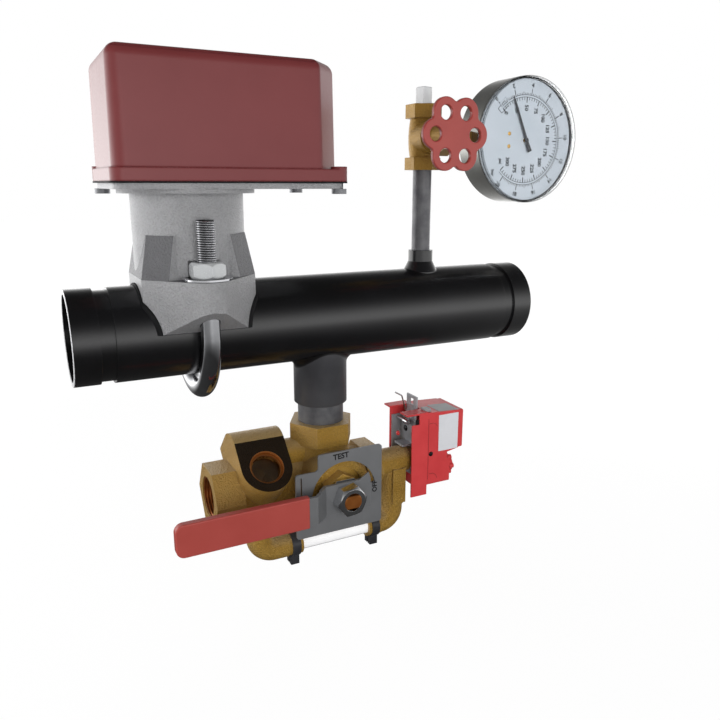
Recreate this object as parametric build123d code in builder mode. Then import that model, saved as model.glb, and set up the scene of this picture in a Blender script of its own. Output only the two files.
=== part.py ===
from build123d import *
import os
from math import asin, cos, degrees, pi, radians, sin, sqrt

# Sprinkler floor control assembly: a grooved header pipe that carries a flow switch
# on top, a pressure gauge behind a gauge valve, and a test and drain valve below.
# Origin: centre of the header's left end. +X runs along the header, -Y faces the
# user, +Z is up. Millimetres.

# Clearances
thread_gap = 0.05
running_gap = 0.05
seat_gap = 0.3

# Header pipe, 2 inch nominal, roll grooved at both ends
header_od = 60.3
header_wall = 2.77
header_length = 336.2
groove_setback = 15.88
groove_width = 8.74
groove_depth = 1.6
header_r = header_od / 2
header_bore_r = header_r - header_wall

# Places of the branches along the header
saddle_x = 78.0
drain_x = 167.8
gauge_x = 251.8

# Gauge branch, 1/4 inch nominal
gauge_boss_od = 18.5
gauge_boss_top = 43.8
gauge_weld_r = 13.0
weld_depth = 4.0
weld_height = 5.5
gauge_pipe_od = 13.7
gauge_pipe_bore = 9.2
gauge_thread_depth = 7.0

# Drain branch, 1 inch nominal
coupling_od = 38.7
coupling_bottom = -62.9
coupling_thread_depth = 16.0
drain_pipe_od = 33.4
drain_pipe_bore = 26.6
drain_pipe_end = -89.0

# Flow switch
plate_left = 27.0
plate_right = 172.1
plate_half_width = 42.1
plate_z = 92.2
gasket_thickness = 1.0
casting_plate_thickness = 3.4
casting_flange_r = 42.1
casting_flange_thickness = 2.6
neck_r = 34.8
neck_bore_r = 20.0
vane_port_r = 16.0
saddle_length = 71.0
saddle_depth = 44.0
saddle_gasket = 1.5
pad_top = 36.0
pad_bottom = 3.0
pad_nose_r = 13.4
pad_draft = 17.0
rib_top = 62.0
rib_slope = 11.0
rib_nose_r = 12.8
rib_setback = 3.0
pocket_width = 30.6
pocket_back = 31.2
pocket_spread = 1.9
seal_margin = 1.0
cover_height = 72.0
cover_wall = 2.2
cover_flange_height = 7.6
cover_chamfer = 17.0
cover_body_inset = 1.4
cover_screw_inset = 5.5
cover_screw_r = 2.0
cover_screw_hole_r = 2.6
cover_screw_head_r = 4.8
cover_screw_head = 3.2
cover_boss_r = 5.2
cover_boss_proud = 1.6

# U-bolt, 3/8 inch
u_bolt_d = 9.52
u_bolt_reach = 40.2
u_bolt_top = 71.5
u_nut_af = 20.3
u_nut_height = 9.6
u_nut_chamfer = 1.5
u_washer_r = 13.4
u_washer_thickness = 1.4

# Flow vane
vane_pivot_z = 55.0
vane_r = 25.0
vane_thickness = 1.2
vane_rod_r = 2.6
vane_hub_r = 5.0
vane_pin_r = 2.0
vane_pin_reach = 26.8
vane_lever_top = 108.0

# Gauge valve
gauge_valve_bottom = 101.7
gauge_hex_af = 22.5
gauge_lower_hex = 8.7
gauge_upper_hex = 9.5
gauge_barrel = 27.0
gauge_barrel_bulge = 1.2
gauge_z = 124.3
wheel_front = 42.0
wheel_thickness = 3.0
wheel_lobe_r = 10.0
wheel_lobe_pitch = 16.0
wheel_lobes = 6
wheel_hole_r = 4.75
gauge_stem_r = 3.2
gauge_seat_travel = 3.0
seat_disc_face = 2.6
plug_square = 8.0
plug_turn = 9.0
plug_top = 159.0

# Gauge
gauge_centre_x = 337.0
case_r = 46.3
case_front = 13.0
case_back = 13.0
case_wall = 2.5
case_corner = 3.0
rim_wall = 1.1
dial_front = 10.8
dial_thickness = 0.8
dial_clearance = 0.2
lens_front = 16.8
lens_thickness = 1.6
lens_lip = 0.6
lens_ledge = 0.8
pointer_length = 35.0
pointer_rest = 24.5
gear_module = 0.5
pinion_teeth = 10
sector_ratio = 7.5

# Test and drain valve
valve_z = -122.0
chamber_r = 27.0
ball_r = 17.0
ball_port_r = 9.0
seat_width = 3.0
test_orifice_r = 3.0
valve_stem_r = 6.5
inlet_hex_top = -77.0
inlet_hex_height = 16.0
inlet_hex_af = 42.6
outlet_end = 80.5
outlet_hex_length = 20.5
outlet_hex_af = 42.0
outlet_bore_r = 14.6
barrel_r = 20.5
sight_x = 116.0
sight_reach = 35.9
sight_r = 18.0
sight_head = 19.7
sight_glass_r = 12.0
sight_recess = 8.0
relief_port_end = 210.4
relief_hex_length = 13.0
relief_hex_af = 38.0

# Indicator plate and lever, distances towards the user from the header's mid-plane
index_front = 40.0
index_thickness = 1.6
arc_r = 25.0
hub_front = 45.0
lever_thickness = 2.5
blade_front = 55.0
lever_half_width = 11.0
blade_half_width = 10.0
stem_end = 55.0
stem_flat = 4.7
lever_nut_af = 19.8
lever_nut_height = 9.5
lever_nut_chamfer = 1.6
sleeve_tip = 45.2
sleeve_end = 134.5
sleeve_wall = 1.2

# Bypass line under the valve
bypass_z = -173.4
bypass_left_x = sight_x
bypass_right_x = 229.6
elbow_r = 8.4
elbow_bend = 11.5
elbow_thread_r = 6.6
tube_od = 12.7
tube_bore = 9.6
tube_left = 149.0
tube_right = 205.0

# Supervisory switch
bracket_x0 = 237.0
bracket_x1 = 251.3
bracket_top = -80.0
bracket_bottom = -149.0
bracket_half_width = 18.0
bracket_gauge = 1.2
switch_mount_z = -130.0

os.makedirs("parts", exist_ok=True)


def radial_plane(x, z=0.0):
    """The plane across the user's view axis through (x, z): local X, local Y = depth."""
    return Plane(origin=(x, 0, z), x_dir=(1, 0, 0), z_dir=(0, 0, -1))


def facing_plane(x, z, toward_user, turn=0.0):
    """A plane that faces the user, in front of the header's mid-plane, turned on its own normal."""
    across = (cos(radians(turn)), 0, sin(radians(turn)))
    return Plane(origin=(x, -toward_user, z), x_dir=across, z_dir=(0, -1, 0))


# Header
with BuildPart() as header_pipe:
    groove_floor = header_r - groove_depth
    groove_inner = header_bore_r - groove_depth / 2
    # Half of the wall's section, from the left end to the middle; the other half is its mirror image
    outside = [
        (0, header_r),
        (groove_setback, header_r),
        (groove_setback, groove_floor),
        (groove_setback + groove_width, groove_floor),
        (groove_setback + groove_width, header_r),
    ]
    inside = [
        (0, header_bore_r),
        (groove_setback - groove_depth, header_bore_r),
        (groove_setback, groove_inner),
        (groove_setback + groove_width, groove_inner),
        (groove_setback + groove_width + groove_depth, header_bore_r),
    ]
    outside_right = [(header_length - x, r) for x, r in reversed(outside)]
    inside_right = [(header_length - x, r) for x, r in reversed(inside)]
    with BuildSketch(Plane.XY):
        with BuildLine():
            Polyline(outside + outside_right + list(reversed(inside + inside_right)), close=True)
        make_face()
    revolve(axis=Axis.X)
    # Outlet for the gauge, welded on: its foot follows the pipe and its bore goes through
    boss_r = gauge_boss_od / 2
    with BuildSketch(Plane.XZ):
        with BuildLine():
            Polyline(
                (gauge_x, header_r - weld_depth),
                (gauge_x + gauge_weld_r, header_r - weld_depth),
                (gauge_x + gauge_weld_r, header_r - weld_depth / 2),
                (gauge_x + boss_r, header_r + weld_height),
                (gauge_x + boss_r, gauge_boss_top),
                (gauge_x, gauge_boss_top),
                close=True,
            )
        make_face()
    revolve(axis=Axis((gauge_x, 0, 0), (0, 0, 1)))
    with BuildSketch(Plane.YZ.offset(gauge_x - gauge_weld_r)):
        Circle(header_bore_r)
    extrude(amount=2 * gauge_weld_r, mode=Mode.SUBTRACT)
    with BuildSketch(Plane.XY.offset(gauge_boss_top)):
        with Locations((gauge_x, 0)):
            Circle(gauge_pipe_od / 2 + thread_gap)
    extrude(amount=-gauge_thread_depth, mode=Mode.SUBTRACT)
    # Ports for the vane and the gauge above, and for the drain below
    with BuildSketch(Plane.XY):
        with Locations((saddle_x, 0)):
            Circle(vane_port_r)
        with Locations((gauge_x, 0)):
            Circle(gauge_pipe_bore / 2)
    extrude(amount=header_od, mode=Mode.SUBTRACT)
    with BuildSketch(Plane.XY):
        with Locations((drain_x, 0)):
            Circle(drain_pipe_bore / 2)
    extrude(amount=-header_od, mode=Mode.SUBTRACT)
header_pipe.part.label = "header_pipe"
export_step(header_pipe.part, "parts/header_pipe.step")

with BuildPart() as drain_coupling:
    coupling_r = coupling_od / 2
    with BuildSketch(Plane.XZ):
        with BuildLine():
            Polyline(
                (drain_x, coupling_bottom),
                (drain_x + coupling_r, coupling_bottom),
                (drain_x + coupling_r, -header_r),
                (drain_x + coupling_r + 7.0, -header_r + 7.0),
                (drain_x + coupling_r + 7.0, -header_r + 15.0),
                (drain_x, -header_r + 15.0),
                close=True,
            )
        make_face()
    revolve(axis=Axis((drain_x, 0, 0), (0, 0, 1)))
    with BuildSketch(Plane.YZ.offset(drain_x - header_r)):
        Circle(header_r)
    extrude(amount=header_od, mode=Mode.SUBTRACT)
    with BuildSketch(Plane.XY.offset(coupling_bottom)):
        with Locations((drain_x, 0)):
            Circle(drain_pipe_bore / 2)
    extrude(amount=header_od, mode=Mode.SUBTRACT)
    with BuildSketch(Plane.XY.offset(coupling_bottom)):
        with Locations((drain_x, 0)):
            Circle(drain_pipe_od / 2 + thread_gap)
    extrude(amount=coupling_thread_depth, mode=Mode.SUBTRACT)
    rim = drain_coupling.edges().filter_by(GeomType.CIRCLE).group_by(Axis.Z)[0].sort_by(SortBy.RADIUS)[-1]
    chamfer(rim, 0.8)
drain_coupling.part.label = "drain_coupling"
export_step(drain_coupling.part, "parts/drain_coupling.step")


# Flow switch casting, its gasket and the U-bolt that clamps it on the header
cover_screw_y = plate_half_width - cover_screw_inset
cover_screw_places = [
    (plate_left + cover_screw_inset, cover_screw_y),
    (plate_right - cover_screw_inset, cover_screw_y),
    (plate_right - cover_screw_inset, -cover_screw_y),
]
u_bolt_places = [(saddle_x, -u_bolt_reach), (saddle_x, u_bolt_reach)]
nut_z = pad_top + u_washer_thickness
nut_corner_r = u_nut_af / sqrt(3)


def saddle_outline(nose_r, setback=0.0, margin=0.0):
    """The casting's outline seen from above: a block with a round nose towards each nut."""
    nose_y = u_bolt_reach - setback
    with BuildSketch() as outline:
        with Locations((saddle_x, 0)):
            Rectangle(saddle_length + 2 * margin, saddle_depth + 2 * margin)
        with Locations((saddle_x, -nose_y), (saddle_x, nose_y)):
            Circle(nose_r + margin)
        make_hull()
    return outline.sketch


with BuildPart() as flow_switch_base:
    flange_z = plate_z - casting_plate_thickness - casting_flange_thickness
    with BuildSketch(Plane.XY.offset(pad_bottom)):
        add(saddle_outline(pad_nose_r))
    extrude(amount=pad_top - pad_bottom)
    with BuildSketch(Plane.XY.offset(pad_top)):
        add(saddle_outline(rib_nose_r, rib_setback))
    extrude(amount=rib_top - pad_top, taper=rib_slope)
    # The pocket that the nut sits in, on each side: it opens out towards the nut
    pocket_front = u_bolt_reach + pad_nose_r
    front_half_width = pocket_width / 2 + pocket_spread * (pocket_front - pocket_back)
    with BuildSketch(Plane.XY.offset(pad_top)):
        with BuildLine():
            Polyline(
                (saddle_x - pocket_width / 2, 0),
                (saddle_x - pocket_width / 2, -pocket_back),
                (saddle_x - front_half_width, -pocket_front),
                (saddle_x + front_half_width, -pocket_front),
                (saddle_x + pocket_width / 2, -pocket_back),
                (saddle_x + pocket_width / 2, 0),
                close=True,
            )
        make_face()
        mirror(about=Plane.XZ)
    extrude(amount=rib_top - pad_top, mode=Mode.SUBTRACT)
    with BuildSketch(Plane.XY.offset(plate_z)):
        with Locations(((plate_left + plate_right) / 2 + 0.5, 0)):
            RectangleRounded(plate_right - plate_left - 3.0, 2 * plate_half_width - 2.0, 10.0)
    extrude(amount=-casting_plate_thickness)
    with BuildSketch(Plane.XY.offset(flange_z + casting_flange_thickness)):
        with Locations((saddle_x, 0)):
            Circle(casting_flange_r)
    extrude(amount=-casting_flange_thickness)
    with BuildSketch(Plane.XY.offset(flange_z)):
        with Locations((saddle_x, 0)):
            Circle(neck_r)
    extrude(amount=-flange_z)
    # The undersides of the pads slope up towards their noses
    nose_y = u_bolt_reach + pad_nose_r + 3.0
    with BuildSketch(Plane.YZ.offset(saddle_x - saddle_length)):
        with BuildLine():
            Polyline(
                (-header_r - 1.0, pad_bottom),
                (-nose_y, pad_bottom + pad_draft),
                (-nose_y, -1.0),
                (-header_r - 1.0, -1.0),
                close=True,
            )
        make_face()
        mirror(about=Plane.YZ)
    extrude(amount=2 * saddle_length, mode=Mode.SUBTRACT)
    # The saddle that follows the pipe, with room for the gasket
    with BuildSketch(Plane.YZ.offset(saddle_x - saddle_length)):
        Circle(header_r + saddle_gasket)
    extrude(amount=2 * saddle_length, mode=Mode.SUBTRACT)
    with BuildSketch(Plane.XY.offset(plate_z)):
        with Locations((saddle_x, 0)):
            Circle(neck_bore_r)
    extrude(amount=-plate_z, mode=Mode.SUBTRACT)
    with BuildSketch(Plane.XY.offset(pad_top)):
        with Locations(*u_bolt_places):
            Circle(u_bolt_d / 2 + 1.6)
    extrude(amount=-pad_top - 1.0, mode=Mode.SUBTRACT)
    # Spot faces that clear the washer and the nut beside the neck
    with BuildSketch(Plane.XY.offset(pad_top)):
        with Locations(*u_bolt_places):
            Circle(u_washer_r + seat_gap)
    extrude(amount=u_washer_thickness + seat_gap, mode=Mode.SUBTRACT)
    with BuildSketch(Plane.XY.offset(pad_top)):
        with Locations(*u_bolt_places):
            Circle(nut_corner_r + seat_gap)
    extrude(amount=u_washer_thickness + u_nut_height + seat_gap, mode=Mode.SUBTRACT)
    with BuildSketch(facing_plane(saddle_x, vane_pivot_z, vane_pin_reach)):
        Circle(vane_pin_r)
    extrude(amount=-2 * vane_pin_reach, mode=Mode.SUBTRACT)
    with BuildSketch(Plane.XY.offset(plate_z)):
        with Locations(*cover_screw_places):
            Circle(cover_screw_hole_r)
    extrude(amount=-casting_plate_thickness, mode=Mode.SUBTRACT)
flow_switch_base.part.label = "flow_switch_base"
export_step(flow_switch_base.part, "parts/flow_switch_base.step")

with BuildPart() as saddle_seal:
    # A sleeve on the pipe, cut to the casting's outline with a small margin
    with BuildSketch(Plane.YZ.offset(saddle_x - saddle_length)):
        Circle(header_r + saddle_gasket)
        Circle(header_r, mode=Mode.SUBTRACT)
    extrude(amount=2 * saddle_length)
    with BuildSketch(Plane.XY.offset(pad_bottom)):
        add(saddle_outline(pad_nose_r, margin=seal_margin))
    extrude(amount=header_od, mode=Mode.INTERSECT)
    with BuildSketch(Plane.XY):
        with Locations((saddle_x, 0)):
            Circle(neck_bore_r)
    extrude(amount=header_od, mode=Mode.SUBTRACT)
saddle_seal.part.label = "saddle_seal"
export_step(saddle_seal.part, "parts/saddle_seal.step")

with BuildPart() as u_bolt:
    with BuildLine() as u_path:
        leg_a = Line((saddle_x, -u_bolt_reach, u_bolt_top), (saddle_x, -u_bolt_reach, 0))
        ThreePointArc(
            (saddle_x, -u_bolt_reach, 0),
            (saddle_x, 0, -u_bolt_reach),
            (saddle_x, u_bolt_reach, 0),
        )
        Line((saddle_x, u_bolt_reach, 0), (saddle_x, u_bolt_reach, u_bolt_top))
    with BuildSketch(Plane(origin=leg_a @ 0, z_dir=leg_a % 0)):
        Circle(u_bolt_d / 2)
    sweep(path=u_path.line)
    chamfer(u_bolt.edges().group_by(Axis.Z)[-1], 0.8)
u_bolt.part.label = "u_bolt"
export_step(u_bolt.part, "parts/u_bolt.step")

with BuildPart() as u_bolt_washers:
    with BuildSketch(Plane.XY.offset(pad_top)):
        with Locations(*u_bolt_places):
            Circle(u_washer_r)
            Circle(u_bolt_d / 2 + 0.5, mode=Mode.SUBTRACT)
    extrude(amount=u_washer_thickness)
u_bolt_washers.part.label = "u_bolt_washers"
export_step(u_bolt_washers.part, "parts/u_bolt_washers.step")

with BuildPart() as u_bolt_nuts:
    with BuildSketch(Plane.XY.offset(nut_z)):
        with Locations(u_bolt_places[0]):
            RegularPolygon(u_nut_af / 2, 6, major_radius=False, rotation=30)
            Circle(u_bolt_d / 2 + thread_gap, mode=Mode.SUBTRACT)
    extrude(amount=u_nut_height)
    # Both ends are turned down at the corners
    with BuildSketch(Plane(origin=(saddle_x, -u_bolt_reach, nut_z), x_dir=(1, 0, 0), z_dir=(0, -1, 0))):
        with BuildLine():
            Polyline(
                (0, 0),
                (u_nut_af / 2 - seat_gap, 0),
                (nut_corner_r + seat_gap, u_nut_chamfer),
                (nut_corner_r + seat_gap, u_nut_height - u_nut_chamfer),
                (u_nut_af / 2 - seat_gap, u_nut_height),
                (0, u_nut_height),
                close=True,
            )
        make_face()
    revolve(axis=Axis((saddle_x, -u_bolt_reach, 0), (0, 0, 1)), mode=Mode.INTERSECT)
    mirror(about=Plane.XZ)
u_bolt_nuts.part.label = "u_bolt_nuts"
export_step(u_bolt_nuts.part, "parts/u_bolt_nuts.step")


# Flow switch housing
with BuildPart() as base_plate:
    with BuildSketch(Plane.XY.offset(plate_z)):
        with Locations(((plate_left + plate_right) / 2, 0)):
            RectangleRounded(plate_right - plate_left, 2 * plate_half_width, 6.0)
        with Locations((saddle_x, 0)):
            Circle(neck_bore_r, mode=Mode.SUBTRACT)
        with Locations(*cover_screw_places):
            Circle(cover_screw_hole_r, mode=Mode.SUBTRACT)
    extrude(amount=gasket_thickness)
base_plate.part.label = "base_plate"
export_step(base_plate.part, "parts/base_plate.step")

cover_z = plate_z + gasket_thickness
cover_left = plate_left + 0.5
cover_right = plate_right - 0.5
cover_half = plate_half_width - 0.3
body_left = cover_left + cover_body_inset
body_right = cover_right - cover_body_inset
body_half = cover_half - cover_body_inset


def cover_outline(inset):
    """The cover's plan outline, with its two right-hand corners cut at 45 degrees."""
    left, right, half = body_left + inset, body_right - inset, body_half - inset
    cut = cover_chamfer - inset * (2 - sqrt(2))
    with BuildSketch() as outline:
        with BuildLine():
            Polyline(
                (left, -half),
                (right - cut, -half),
                (right, -half + cut),
                (right, half - cut),
                (right - cut, half),
                (left, half),
                close=True,
            )
        make_face()
        fillet(outline.vertices().sort_by(Axis.X)[-4:], 4.0 - inset)
        fillet(outline.vertices().sort_by(Axis.X)[:2], 8.0 - inset)
    return outline.sketch


with BuildPart() as switch_cover:
    with BuildSketch(Plane.XY.offset(cover_z)):
        with Locations(((cover_left + cover_right) / 2, 0)):
            RectangleRounded(cover_right - cover_left, 2 * cover_half, 7.0)
    extrude(amount=cover_flange_height)
    with BuildSketch(Plane.XY.offset(cover_z)):
        add(cover_outline(0.0))
    extrude(amount=cover_height, taper=1.0)
    crown = switch_cover.faces().sort_by(Axis.Z)[-1].edges()
    fillet(crown, 7.0)
    with BuildSketch(Plane.XY.offset(cover_z)):
        add(cover_outline(cover_wall))
    extrude(amount=cover_height - cover_wall, taper=1.0, mode=Mode.SUBTRACT)
    with BuildSketch(Plane.XY.offset(cover_z)):
        with Locations(*cover_screw_places):
            Circle(cover_boss_r)
    extrude(amount=cover_flange_height + cover_boss_proud)
    with BuildSketch(Plane.XY.offset(cover_z)):
        with Locations(*cover_screw_places):
            Circle(cover_screw_r + thread_gap)
    extrude(amount=cover_flange_height - 1.0, mode=Mode.SUBTRACT)
switch_cover.part.label = "switch_cover"
export_step(switch_cover.part, "parts/switch_cover.step")

with BuildPart() as cover_screws:
    # Up through the plate and the gasket into the cover, with a hexagon socket in each head
    screw_head_z = plate_z - casting_plate_thickness
    with BuildSketch(Plane.XY.offset(screw_head_z)):
        with Locations(*cover_screw_places):
            Circle(cover_screw_head_r)
    extrude(amount=-cover_screw_head)
    with BuildSketch(Plane.XY.offset(screw_head_z)):
        with Locations(*cover_screw_places):
            Circle(cover_screw_r)
    extrude(amount=casting_plate_thickness + gasket_thickness + cover_flange_height - 2.0)
    with BuildSketch(Plane.XY.offset(screw_head_z - cover_screw_head)):
        with Locations(*cover_screw_places):
            RegularPolygon(cover_screw_r, 6)
    extrude(amount=cover_screw_head / 2, mode=Mode.SUBTRACT)
cover_screws.part.label = "cover_screws"
export_step(cover_screws.part, "parts/cover_screws.step")

with BuildPart() as flow_vane:
    with BuildSketch(Plane.YZ.offset(saddle_x - vane_thickness / 2)):
        Circle(vane_r)
    extrude(amount=vane_thickness)
flow_vane.part.label = "flow_vane"
export_step(flow_vane.part, "parts/flow_vane.step")

with BuildPart() as vane_lever:
    rod_foot = -6.0
    with BuildSketch(Plane.XY.offset(rod_foot)):
        with Locations((saddle_x, 0)):
            Circle(vane_rod_r)
    extrude(amount=vane_lever_top - rod_foot)
    with Locations((saddle_x, 0, vane_pivot_z)):
        Sphere(vane_hub_r)
    # The slot that grips the vane
    with BuildSketch(Plane.YZ.offset(saddle_x - vane_thickness / 2)):
        Rectangle(2 * vane_r, 2 * vane_r)
    extrude(amount=vane_thickness, mode=Mode.SUBTRACT)
    with BuildSketch(facing_plane(saddle_x, vane_pivot_z, vane_hub_r)):
        Circle(vane_pin_r + running_gap)
    extrude(amount=-2 * vane_hub_r, mode=Mode.SUBTRACT)
vane_lever.part.label = "vane_lever"
export_step(vane_lever.part, "parts/vane_lever.step")

with BuildPart() as vane_pin:
    with BuildSketch(facing_plane(saddle_x, vane_pivot_z, vane_pin_reach)):
        Circle(vane_pin_r)
    extrude(amount=-2 * vane_pin_reach)
vane_pin.part.label = "vane_pin"
export_step(vane_pin.part, "parts/vane_pin.step")

with BuildPart() as neck_seal:
    seal_half = 1.6
    with BuildSketch(Plane.XY.offset(vane_pivot_z + vane_pin_r + 0.6)):
        with Locations((saddle_x, 0)):
            Circle(neck_bore_r)
            Circle(vane_hub_r + running_gap, mode=Mode.SUBTRACT)
    extrude(amount=2 * seal_half)
neck_seal.part.label = "neck_seal"
export_step(neck_seal.part, "parts/neck_seal.step")

# Inside the housing: the delay unit that the vane lever pushes, and two switches
delay_x = saddle_x + 26.0
delay_r = 13.0
delay_height = 30.0
knob_r = 7.0
switch_block_offset = 36.0
with BuildPart() as delay_unit:
    with BuildSketch(Plane.XY.offset(cover_z)):
        with Locations((delay_x, 0)):
            RectangleRounded(2 * delay_r + 3.0, 2 * delay_r + 3.0, 3.0)
    extrude(amount=4.0)
    with BuildSketch(Plane.XY.offset(cover_z + 4.0)):
        with Locations((delay_x, 0)):
            Circle(delay_r)
    extrude(amount=delay_height - 4.0)
    fillet(delay_unit.faces().sort_by(Axis.Z)[-1].edges(), 1.5)
    with Locations((delay_x, 0, cover_z + delay_height)):
        Hole(2.0 + running_gap, depth=6.0)
delay_unit.part.label = "delay_unit"
export_step(delay_unit.part, "parts/delay_unit.step")

with BuildPart() as delay_knob:
    with BuildSketch(Plane.XY.offset(cover_z + delay_height + seat_gap)):
        with Locations((delay_x, 0)):
            Circle(knob_r)
            with PolarLocations(knob_r + 0.6, 12):
                Circle(1.1, mode=Mode.SUBTRACT)
    extrude(amount=6.0)
    with BuildSketch(Plane.XY.offset(cover_z + delay_height + seat_gap)):
        with Locations((delay_x, 0)):
            Circle(2.0)
    extrude(amount=-6.0)
delay_knob.part.label = "delay_knob"
export_step(delay_knob.part, "parts/delay_knob.step")

switch_block_x = delay_x + switch_block_offset
switch_block_size = (20.0, 10.0, 26.0)
with BuildPart() as switch_blocks:
    with BuildSketch(Plane.XY.offset(cover_z)):
        with Locations((switch_block_x, -8.0), (switch_block_x, 8.0)):
            RectangleRounded(switch_block_size[0], switch_block_size[1], 1.0)
    extrude(amount=switch_block_size[2])
    with BuildSketch(Plane.XY.offset(cover_z + switch_block_size[2])):
        with Locations((switch_block_x - 6.0, -8.0), (switch_block_x - 6.0, 8.0)):
            RectangleRounded(4.0, 3.0, 0.8)
    extrude(amount=2.0)
switch_blocks.part.label = "switch_blocks"
export_step(switch_blocks.part, "parts/switch_blocks.step")

with BuildPart() as terminal_strip:
    strip_x = saddle_x - 34.0
    with BuildSketch(Plane.XY.offset(cover_z)):
        with Locations((strip_x, 0)):
            Rectangle(14.0, 60.0)
    extrude(amount=12.0)
    with BuildSketch(Plane.XY.offset(cover_z + 12.0)):
        with Locations((strip_x, 0)):
            with GridLocations(0, 10.0, 1, 6):
                Rectangle(10.0, 7.0)
    extrude(amount=-5.0, mode=Mode.SUBTRACT)
    with BuildSketch(Plane.XY.offset(cover_z + 7.0)):
        with Locations((strip_x, 0)):
            with GridLocations(0, 10.0, 1, 6):
                Circle(2.6)
    extrude(amount=2.0)
    with BuildSketch(Plane.XY.offset(cover_z + 9.0)):
        with Locations((strip_x, 0)):
            with GridLocations(0, 10.0, 1, 6):
                Rectangle(4.0, 0.7)
    extrude(amount=-0.8, mode=Mode.SUBTRACT)
terminal_strip.part.label = "terminal_strip"
export_step(terminal_strip.part, "parts/terminal_strip.step")


# Gauge valve
gauge_barrel_z = gauge_valve_bottom + gauge_lower_hex
gauge_upper_z = gauge_barrel_z + gauge_barrel
gauge_valve_top = gauge_upper_z + gauge_upper_hex
gauge_valve_axis = Axis((gauge_x, 0, gauge_z), (0, 1, 0))
socket_face_x = gauge_x + 22.0
bonnet_face = 15.0
bonnet_thread_r = 8.0
gauge_seat_y = gauge_seat_travel - seat_disc_face + 0.1

with BuildPart() as gauge_pipe:
    with BuildSketch(Plane.XY.offset(gauge_boss_top - gauge_thread_depth)):
        with Locations((gauge_x, 0)):
            Circle(gauge_pipe_od / 2)
            Circle(gauge_pipe_bore / 2, mode=Mode.SUBTRACT)
    extrude(amount=gauge_valve_bottom - gauge_boss_top + 2 * gauge_thread_depth - 1.0)
gauge_pipe.part.label = "gauge_pipe"
export_step(gauge_pipe.part, "parts/gauge_pipe.step")

with BuildPart() as gauge_valve_body:
    for hex_z, hex_height in ((gauge_valve_bottom, gauge_lower_hex), (gauge_upper_z, gauge_upper_hex)):
        with BuildSketch(Plane.XY.offset(hex_z)):
            with Locations((gauge_x, 0)):
                RegularPolygon(gauge_hex_af / 2, 6, major_radius=False, rotation=30)
        extrude(amount=hex_height)
    barrel_half = gauge_hex_af / 2 - 0.6
    with BuildSketch(Plane.XZ):
        with BuildLine():
            side = ThreePointArc(
                (gauge_x + barrel_half - gauge_barrel_bulge, gauge_barrel_z),
                (gauge_x + barrel_half, gauge_barrel_z + gauge_barrel / 2),
                (gauge_x + barrel_half - gauge_barrel_bulge, gauge_upper_z),
            )
            Polyline(side @ 1, (gauge_x, gauge_upper_z), (gauge_x, gauge_barrel_z), side @ 0)
        make_face()
    revolve(axis=Axis((gauge_x, 0, 0), (0, 0, 1)))
    # Bonnet boss towards the user and the gauge port on the right
    with BuildSketch(facing_plane(gauge_x, gauge_z, 0)):
        Circle(11.5)
    extrude(amount=bonnet_face)
    with BuildSketch(Plane(origin=(gauge_x, 0, gauge_z), x_dir=(0, 1, 0), z_dir=(1, 0, 0))):
        Circle(9.0)
    extrude(amount=14.0)
    with BuildSketch(Plane(origin=(gauge_x + 12.0, 0, gauge_z), x_dir=(0, 1, 0), z_dir=(1, 0, 0))):
        RegularPolygon(gauge_hex_af / 2 - 0.5, 6, major_radius=False, rotation=30)
    extrude(amount=socket_face_x - gauge_x - 12.0)
    # Bonnet bore, seat pocket, and the inlet, test and gauge passages
    with BuildSketch(facing_plane(gauge_x, gauge_z, bonnet_face)):
        Circle(bonnet_thread_r + thread_gap)
    extrude(amount=-(bonnet_face + gauge_seat_y), mode=Mode.SUBTRACT)
    with BuildSketch(facing_plane(gauge_x, gauge_z, 0)):
        Circle(3.5)
    extrude(amount=-7.0, mode=Mode.SUBTRACT)
    with BuildSketch(Plane.XY.offset(gauge_valve_bottom)):
        with Locations((gauge_x, 0)):
            Circle(gauge_pipe_od / 2 + thread_gap)
    extrude(amount=gauge_thread_depth, mode=Mode.SUBTRACT)
    with BuildSketch(Plane.XY.offset(gauge_valve_bottom)):
        with Locations((gauge_x, 4.4)):
            Circle(2.4)
    extrude(amount=gauge_z - gauge_valve_bottom, mode=Mode.SUBTRACT)
    with BuildSketch(Plane.XY.offset(gauge_valve_top)):
        with Locations((gauge_x, 0)):
            Circle(gauge_pipe_od / 2 + thread_gap)
    extrude(amount=-gauge_upper_hex, mode=Mode.SUBTRACT)
    with BuildSketch(Plane.XY.offset(gauge_valve_top)):
        with Locations((gauge_x, -5.0)):
            Circle(1.8)
    extrude(amount=gauge_z - gauge_valve_top, mode=Mode.SUBTRACT)
    with BuildSketch(Plane(origin=(socket_face_x, 0, gauge_z), x_dir=(0, 1, 0), z_dir=(1, 0, 0))):
        Circle(gauge_pipe_od / 2 + thread_gap)
    extrude(amount=-9.0, mode=Mode.SUBTRACT)
    with BuildSketch(Plane(origin=(socket_face_x, -4.0, gauge_z), x_dir=(0, 1, 0), z_dir=(1, 0, 0))):
        Circle(1.8)
    extrude(amount=gauge_x - socket_face_x, mode=Mode.SUBTRACT)
gauge_valve_body.part.label = "gauge_valve_body"
export_step(gauge_valve_body.part, "parts/gauge_valve_body.step")

with BuildPart() as gauge_plug:
    with BuildSketch(Plane.XY.offset(gauge_valve_top)):
        with Locations((gauge_x, 0)):
            Circle(gauge_pipe_od / 2)
    extrude(amount=-gauge_upper_hex + 1.5)
    with BuildSketch(Plane.XY.offset(gauge_valve_top)):
        with Locations((gauge_x, 0)):
            Rectangle(plug_square, plug_square, rotation=plug_turn)
    extrude(amount=plug_top - gauge_valve_top)
    chamfer(gauge_plug.faces().sort_by(Axis.Z)[-1].edges(), 0.6)
gauge_plug.part.label = "gauge_plug"
export_step(gauge_plug.part, "parts/gauge_plug.step")

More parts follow.
